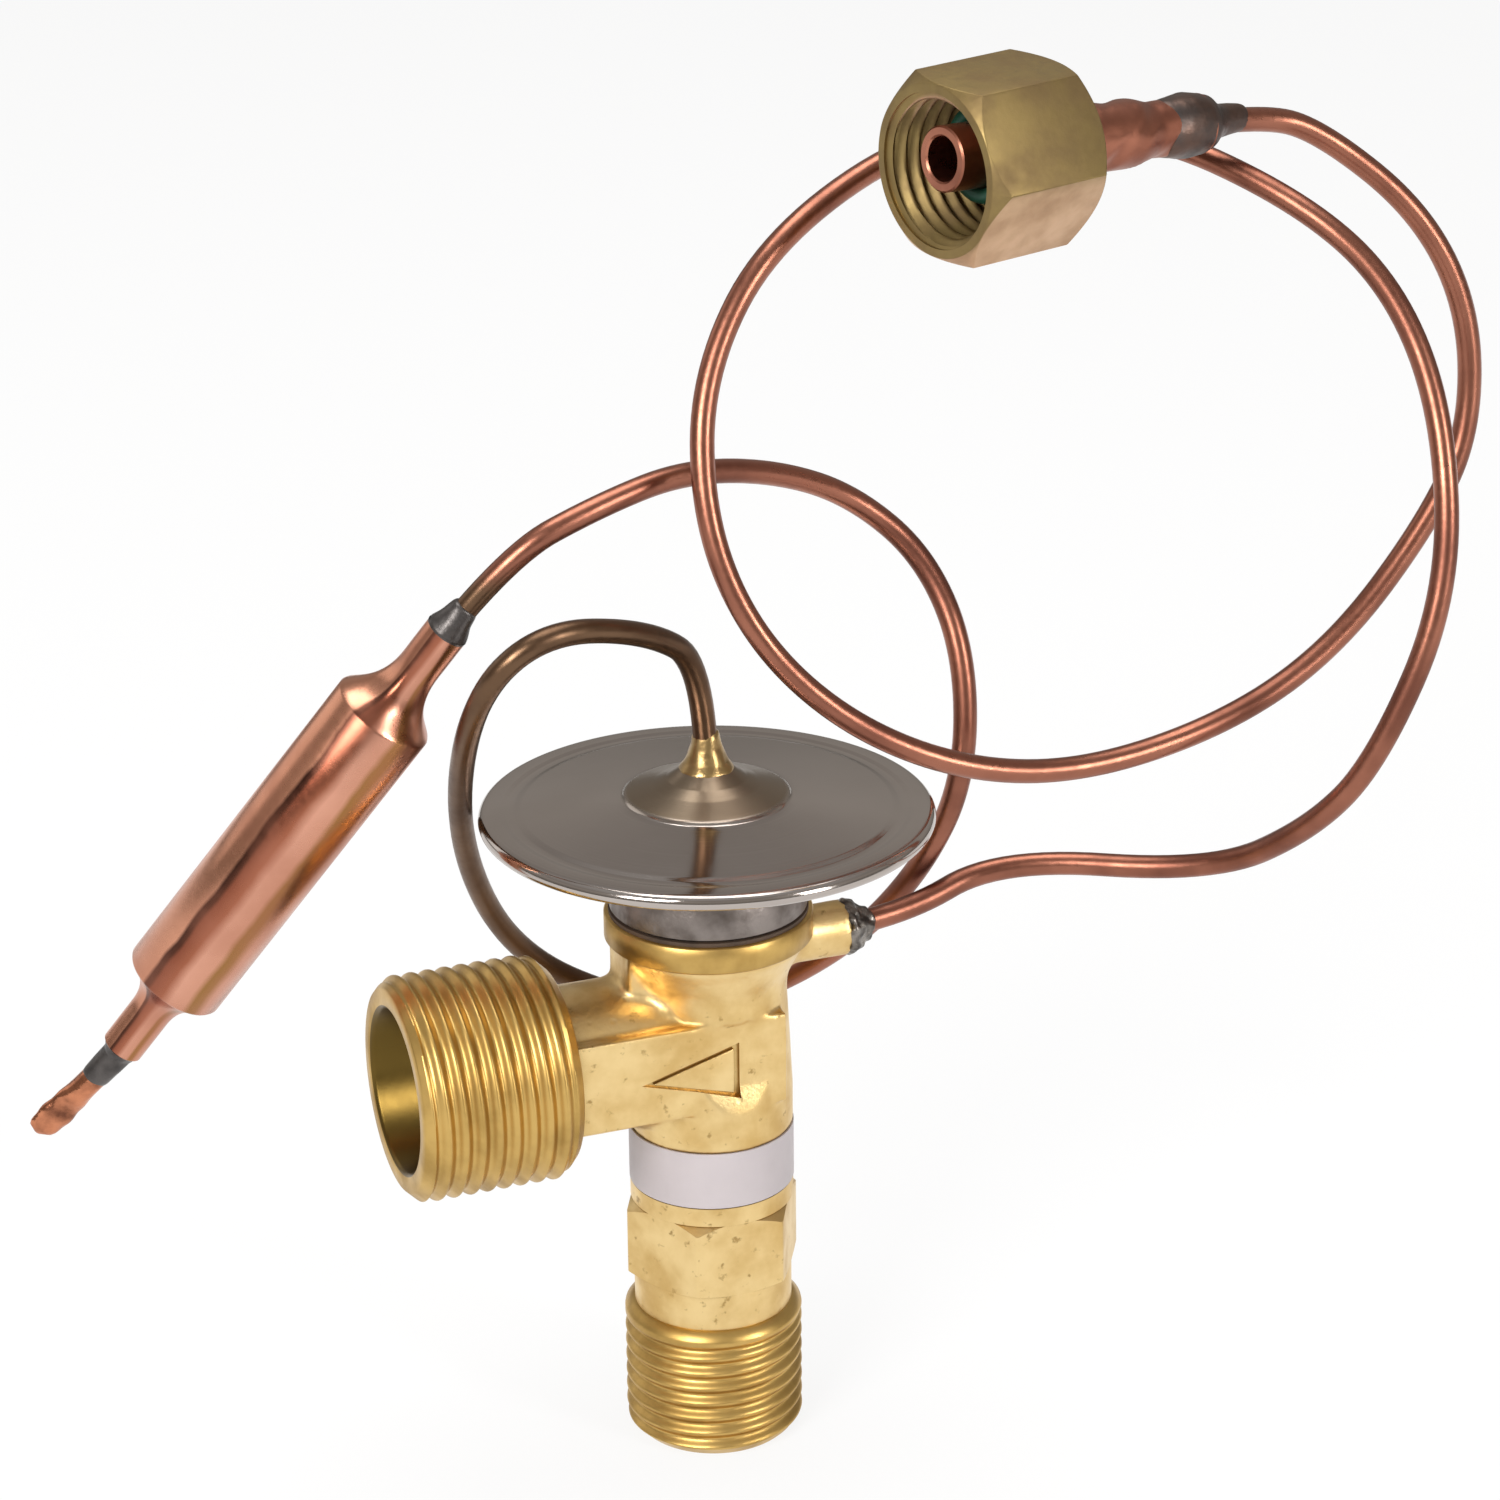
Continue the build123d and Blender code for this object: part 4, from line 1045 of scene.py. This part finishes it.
bulb_mesh = turned(shell, steps=96, on_axis=True)
# Four shallow flutes left by the rollers that closed the upper cone
flute_depth = 0.13
for vert in bulb_mesh.verts:
    rise = (vert.co.z / mm - bulb_neck + 0.8) / (bulb_shoulder - bulb_neck + 0.8)
    if 0.0 < rise < 1.0:
        around = atan2(vert.co.y, vert.co.x)
        kept = 1.0 - flute_depth * sin(pi * rise) ** 1.5 * abs(cos(2.0 * around + 0.5)) ** 1.5
        vert.co.x *= kept
        vert.co.y *= kept
bulb_mesh.transform(bulb_frame)
bulb_copper = tarnished_metal(
    "bulb_copper", (0.66, 0.335, 0.235), (0.42, 0.165, 0.105), 0.6, 120.0, 0.24, 0.1, 1500.0, 0.006
)
# Painted reflections laid along the shell at a fixed angle round the bulb: a dark band with a red one beside
# it, a lighter band, and an ochre one
tree = bulb_copper.node_tree
place = add_node(tree, "TexCoord").outputs["Object"]
from_axis = add_node(tree, "VectorMath", {0: place, 1: bulb_neck_end * mm}, operation="SUBTRACT")
reflection_band_angle = radians(-160.4)
across_bulb = []
for angle in (reflection_band_angle, reflection_band_angle + pi / 2):
    way = bulb_frame.to_3x3() @ Vector((cos(angle), sin(angle), 0.0))
    reach = add_node(tree, "VectorMath", {0: from_axis.outputs[0], 1: way}, operation="DOT_PRODUCT")
    across_bulb.append(reach.outputs["Value"])
turn = calculate(tree, "ARCTAN2", across_bulb[1], across_bulb[0])
wander = add_node(tree, "TexNoise", {"Vector": from_axis.outputs[0], "Scale": 160.0, "Detail": 3.0})
wander_angle = 0.22
turn = calculate(tree, "MULTIPLY_ADD", wander.outputs["Fac"], wander_angle, turn)
first, last = wander_angle / 2 + pi / 2, wander_angle / 2 - pi / 2
along = add_node(tree, "MapRange", {0: turn, 1: first, 2: last})
reflection_bands = [
    (0.0, (0.68, 0.315, 0.195)),
    (0.34, (0.68, 0.32, 0.20)),
    (0.362, (0.035, 0.014, 0.01)),
    (0.392, (0.06, 0.02, 0.012)),
    (0.415, (0.24, 0.07, 0.038)),
    (0.495, (0.36, 0.12, 0.065)),
    (0.56, (0.72, 0.36, 0.25)),
    (0.65, (0.68, 0.33, 0.22)),
    (0.69, (0.34, 0.165, 0.05)),
    (0.735, (0.38, 0.17, 0.06)),
    (0.79, (0.62, 0.29, 0.19)),
]
tree.links.new(add_ramp(tree, along.outputs[0], reflection_bands), tree.nodes["skin"].inputs["Metal"])
bulb = show("sensing_bulb", to_mesh(bulb_mesh, "sensing_bulb"), bulb_copper)
dress(bulb, "valve_block", "bulb_copper", "bulb_shell")

grey_solder = tarnished_metal(
    "grey_solder", (0.13, 0.118, 0.112), (0.055, 0.05, 0.048), 0.9, 500.0, 0.36, 0.2, 2400.0, 0.03
)
cap_mesh = turned(
    [(0, 0.2), (1.85, 0.2), (1.88, 0.0), (1.7, -0.45), (1.42, -1.3), (1.2, -2.3), (1.0, -2.75), (0, -2.8)],
    steps=48,
    rounding=0.2,
    on_axis=True,
)
roughen(cap_mesh, 0.06, 0.9)
cap_mesh.transform(bulb_frame)
bulb_cap = show("bulb_solder_cap", to_mesh(cap_mesh, "bulb_solder_cap"), grey_solder)
dress(bulb_cap, "valve_block", "solder", "bulb_solder")

charge_r = 1.15
charge_stub = 1.3
charge_lean = radians(7.5)
charge_round_end = 5.2
pinch_end = 11.7
rows = [(charge_r, rise * 0.35) for rise in range(-6, 33)]
charge_mesh = turned([(0, -2.1), *rows, (charge_r - 0.1, pinch_end), (0, pinch_end)], steps=40, on_axis=True)
for vert in charge_mesh.verts:
    rise = vert.co.z / mm
    nip = min(max((rise - charge_round_end) / 3.0, 0.0), 1.0)
    nip = nip * nip * (3.0 - 2.0 * nip)
    tip = min(max((rise - pinch_end + 1.5) / 1.55, 0.0), 1.0)
    end_round = (1.0 - tip * tip) ** 0.5
    crimps = 0.07 * sin(2.6 * rise) * nip
    vert.co.x *= (1.0 - nip * (0.38 + crimps)) * max(end_round, 0.3)
    vert.co.y *= (1.0 + nip * (0.24 - crimps)) * max(end_round, 0.12)
    vert.co.y -= max(rise - charge_stub, 0.0) * mm * sin(charge_lean)
charge_mesh.transform(bulb_frame @ Matrix.Translation((0, 0, bulb_end * mm)))
charge_copper = tarnished_metal(
    "charging_copper", (0.64, 0.25, 0.13), (0.11, 0.04, 0.025), 1.0, 480.0, 0.16, 0.14, 1200.0, 0.06
)
charging_tube = show("nipped_filling_tube", to_mesh(charge_mesh, "nipped_filling_tube"), charge_copper)
dress(charging_tube, "valve_block", "tube_copper", "charging_tube")
wipe_mesh = turned(
    [(0, -0.2), (1.8, -0.2), (1.6, 0.15), (1.35, 0.7), (1.3, 2.2), (1.24, 3.6), (1.17, 4.0), (0, 4.05)],
    steps=40,
    rounding=0.12,
    on_axis=True,
)
for vert in wipe_mesh.verts:
    vert.co.y -= max(vert.co.z / mm - charge_stub, 0.0) * mm * sin(charge_lean)
roughen(wipe_mesh, 0.06, 0.8)
wipe_mesh.transform(bulb_frame @ Matrix.Translation((0, 0, bulb_end * mm)))
charging_solder = show("filling_tube_solder", to_mesh(wipe_mesh, "filling_tube_solder"), grey_solder)
dress(charging_solder, "valve_block", "solder", "charging_solder")


# Solder at the equaliser boss: a dark, lumpy fillet with flux left on it.
# It was run round the tube with an iron.
burnt_solder = tarnished_metal(
    "burnt_solder", (0.30, 0.27, 0.24), (0.016, 0.013, 0.012), 1.0, 900.0, 0.28, 0.3, 3200.0, 0.08
)
blob_mesh = turned(
    [(0, -0.3), (2.3, -0.3), (2.55, 0.1), (2.45, 0.6), (2.0, 1.2), (1.55, 1.9), (1.25, 2.6), (0, 2.8)],
    steps=56,
    rounding=0.22,
    on_axis=True,
)
bmesh.ops.subdivide_edges(blob_mesh, edges=blob_mesh.edges[:], cuts=1, use_grid_fill=True)
roughen(blob_mesh, 0.3, 0.75)
blob_mesh.transform(stand((boss_reach, 0, boss_height), (1, 0, 0)))
blob_mesh = to_mesh(blob_mesh, "boss_solder_fillet", crease=80)
boss_solder = show("boss_solder_fillet", blob_mesh, burnt_solder)
dress(boss_solder, "valve_block", "solder", "boss_solder")


# Union fitting: a copper tube with a rolled bead that the nut pulls on, a green seal ring in front of
# the bead, and its far end swaged onto the capillary and soldered over.
fitting_frame = stand(fitting_zero, fitting_axis, (-sin(nut_azimuth), cos(nut_azimuth), 0))
swell_r = 2.9
waist_r = 2.35
fitting_outline = [
    (1.85, 0.85),
    (2.0, 0.7),
    (2.55, 0.7),
    (2.7, 0.85),
    (2.7, 5.5),
    (3.6, 5.6),
    (3.9, 5.95),
    (3.9, 6.5),
    (2.75, 7.4),
    (2.7, 12.7),
    (2.78, 13.4),
    (swell_r, 14.5),
]
fitting_outline += [(swell_r, 14.5 + 0.35 * row) for row in range(1, 17)]
fitting_outline += spun_down((swell_r, 20.4), (swell_r, 21.4), (waist_r, 22.4), (waist_r, 23.2))
fitting_outline += [(waist_r + 0.012 * row, 23.2 + 0.35 * row) for row in range(1, 17)]
fitting_outline += [
    (2.4, 28.95),
    (2.2, 29.35),
    (1.7, fitting_end),
    (1.0, fitting_end),
    (1.0, 25),
    (1.35, 24),
    (1.35, 22),
    (1.85, 20),
]
fitting_mesh = turned(fitting_outline, steps=64)
for vert in fitting_mesh.verts:
    rise = vert.co.z / mm
    if hypot(vert.co.x, vert.co.y) > 2.0 * mm and 14.0 < rise < 29.3:
        fade = min((rise - 14.0) / 2.0, (29.3 - rise) / 1.0, 1.0)
        around = atan2(vert.co.y, vert.co.x)
        dent = max(sin(3.0 * around + 0.9 * rise), 0.0) * (0.5 + 0.5 * sin(1.7 * rise + around))
        kept = 1.0 - 0.075 * fade * dent
        vert.co.x *= kept
        vert.co.y *= kept
fitting_mesh.transform(fitting_frame)
fitting_copper = tarnished_metal(
    "fitting_copper", (0.44, 0.175, 0.11), (0.22, 0.08, 0.05), 0.9, 170.0, 0.28, 0.16, 1500.0, 0.01
)
fitting_tube = show("swaged_fitting_tube", to_mesh(fitting_mesh, "swaged_fitting_tube"), fitting_copper)
dress(fitting_tube, "valve_block", "tube_copper", "fitting_tube")

cuff_mesh = turned(
    [
        (0, 24.2),
        (2.3, 24.2),
        (2.5, 24.9),
        (2.66, 25.9),
        (2.75, 27.2),
        (2.6, 28.6),
        (2.25, 29.6),
        (1.75, 30.3),
        (1.42, 31.1),
        (1.3, 32.2),
        (1.22, 33.4),
        (1.08, 33.8),
        (0, 33.85),
    ],
    steps=56,
    rounding=0.2,
    on_axis=True,
)
roughen(cuff_mesh, 0.12, 1.6)
cuff_mesh.transform(fitting_frame)
smeared_solder = tarnished_metal(
    "smeared_solder", (0.14, 0.085, 0.065), (0.075, 0.068, 0.065), 1.0, 380.0, 0.36, 0.2, 2400.0, 0.03
)
fitting_solder = show("fitting_solder_cuff", to_mesh(cuff_mesh, "fitting_solder_cuff"), smeared_solder)
dress(fitting_solder, "valve_block", "solder", "fitting_solder")

green_rubber = tarnished_metal(
    "green_rubber", (0.006, 0.055, 0.03), (0.004, 0.03, 0.018),
    0.5, 500.0, 0.4, 0.2, 2200.0, 0.02, metallic=0.0
)
finish(green_rubber, "fitting_seal")


# Union nut: a brass hexagon bar part, both ends turned to a chamfer, threaded inside.
# It spins loose on the fitting tube and its shoulder pulls on the bead.
nut_flats = 14.4
nut_length = 12.1
nut_chamfer = 1.1
nut_thread_r = 6.4
nut_thread_depth = 8.0
nut_corner_r = nut_flats / 2 / cos(radians(30))
nut_frame = stand(
    nut_mouth, (cos(nut_azimuth) * cos(nut_rise), sin(nut_azimuth) * cos(nut_rise), sin(nut_rise))
)
blank = bmesh.new()
add_hexagon(blank, nut_corner_r, 0, nut_length, 5, 0.12)
trim = turned(
    [
        (0, 0),
        (nut_flats / 2 - 0.1, 0),
        (nut_corner_r + 0.02, nut_chamfer),
        (nut_corner_r + 0.02, nut_length - nut_chamfer),
        (nut_flats / 2 - 0.1, nut_length),
        (0, nut_length),
    ],
    steps=144,
    on_axis=True,
)
bore_rows = 64
wall = [(nut_thread_r, nut_thread_depth * row / bore_rows) for row in range(bore_rows + 1)]
mouth_r = nut_thread_r + 0.25
tap = turned(
    [(0, -1), (mouth_r, -1), (mouth_r, -0.01), *wall, (3.25, 10.4), (3.25, 14), (0, 14)],
    steps=96,
    on_axis=True,
)
cut_thread(tap, nut_thread_r, 0.35, nut_thread_depth, 0.68, 1.4)
nut_mesh = joined(to_mesh(blank, "nut"), "INTERSECT", trim)
nut_mesh = modified(
    nut_mesh, "BEVEL", width=0.1 * mm, segments=2, limit_method="ANGLE", angle_limit=radians(25)
)
nut_mesh = smoothed(joined(nut_mesh, "DIFFERENCE", tap), 35)
nut_mesh.transform(nut_frame)
nut_plain = (0.30, 0.215, 0.085)
nut_dull = (0.20, 0.135, 0.065)
nut_brass = tarnished_metal(
    "nut_brass", nut_plain, nut_dull, 0.9, 260.0, 0.46, 0.2, 1600.0, 0.012
)
# Faces that point down are paler and pinker than the rest: painted light on the lower face
tree = nut_brass.node_tree
facing = add_node(tree, "SeparateXYZ", {0: add_node(tree, "TexCoord").outputs["Normal"]}).outputs["Z"]
lower_face_light = eased(tree, facing, -0.35, -0.6)
for label, plain, pale in (
    ("Metal", nut_plain, (0.68, 0.46, 0.29)),
    ("Tarnish", nut_dull, (0.46, 0.29, 0.17)),
):
    tree.links.new(tint(tree, lower_face_light, plain, pale), tree.nodes["skin"].inputs[label])
nut_mesh.materials.clear()
flare_nut = show("union_nut", nut_mesh, nut_brass)
dress(flare_nut, "union_nut", "nut_brass", "flare_nut")
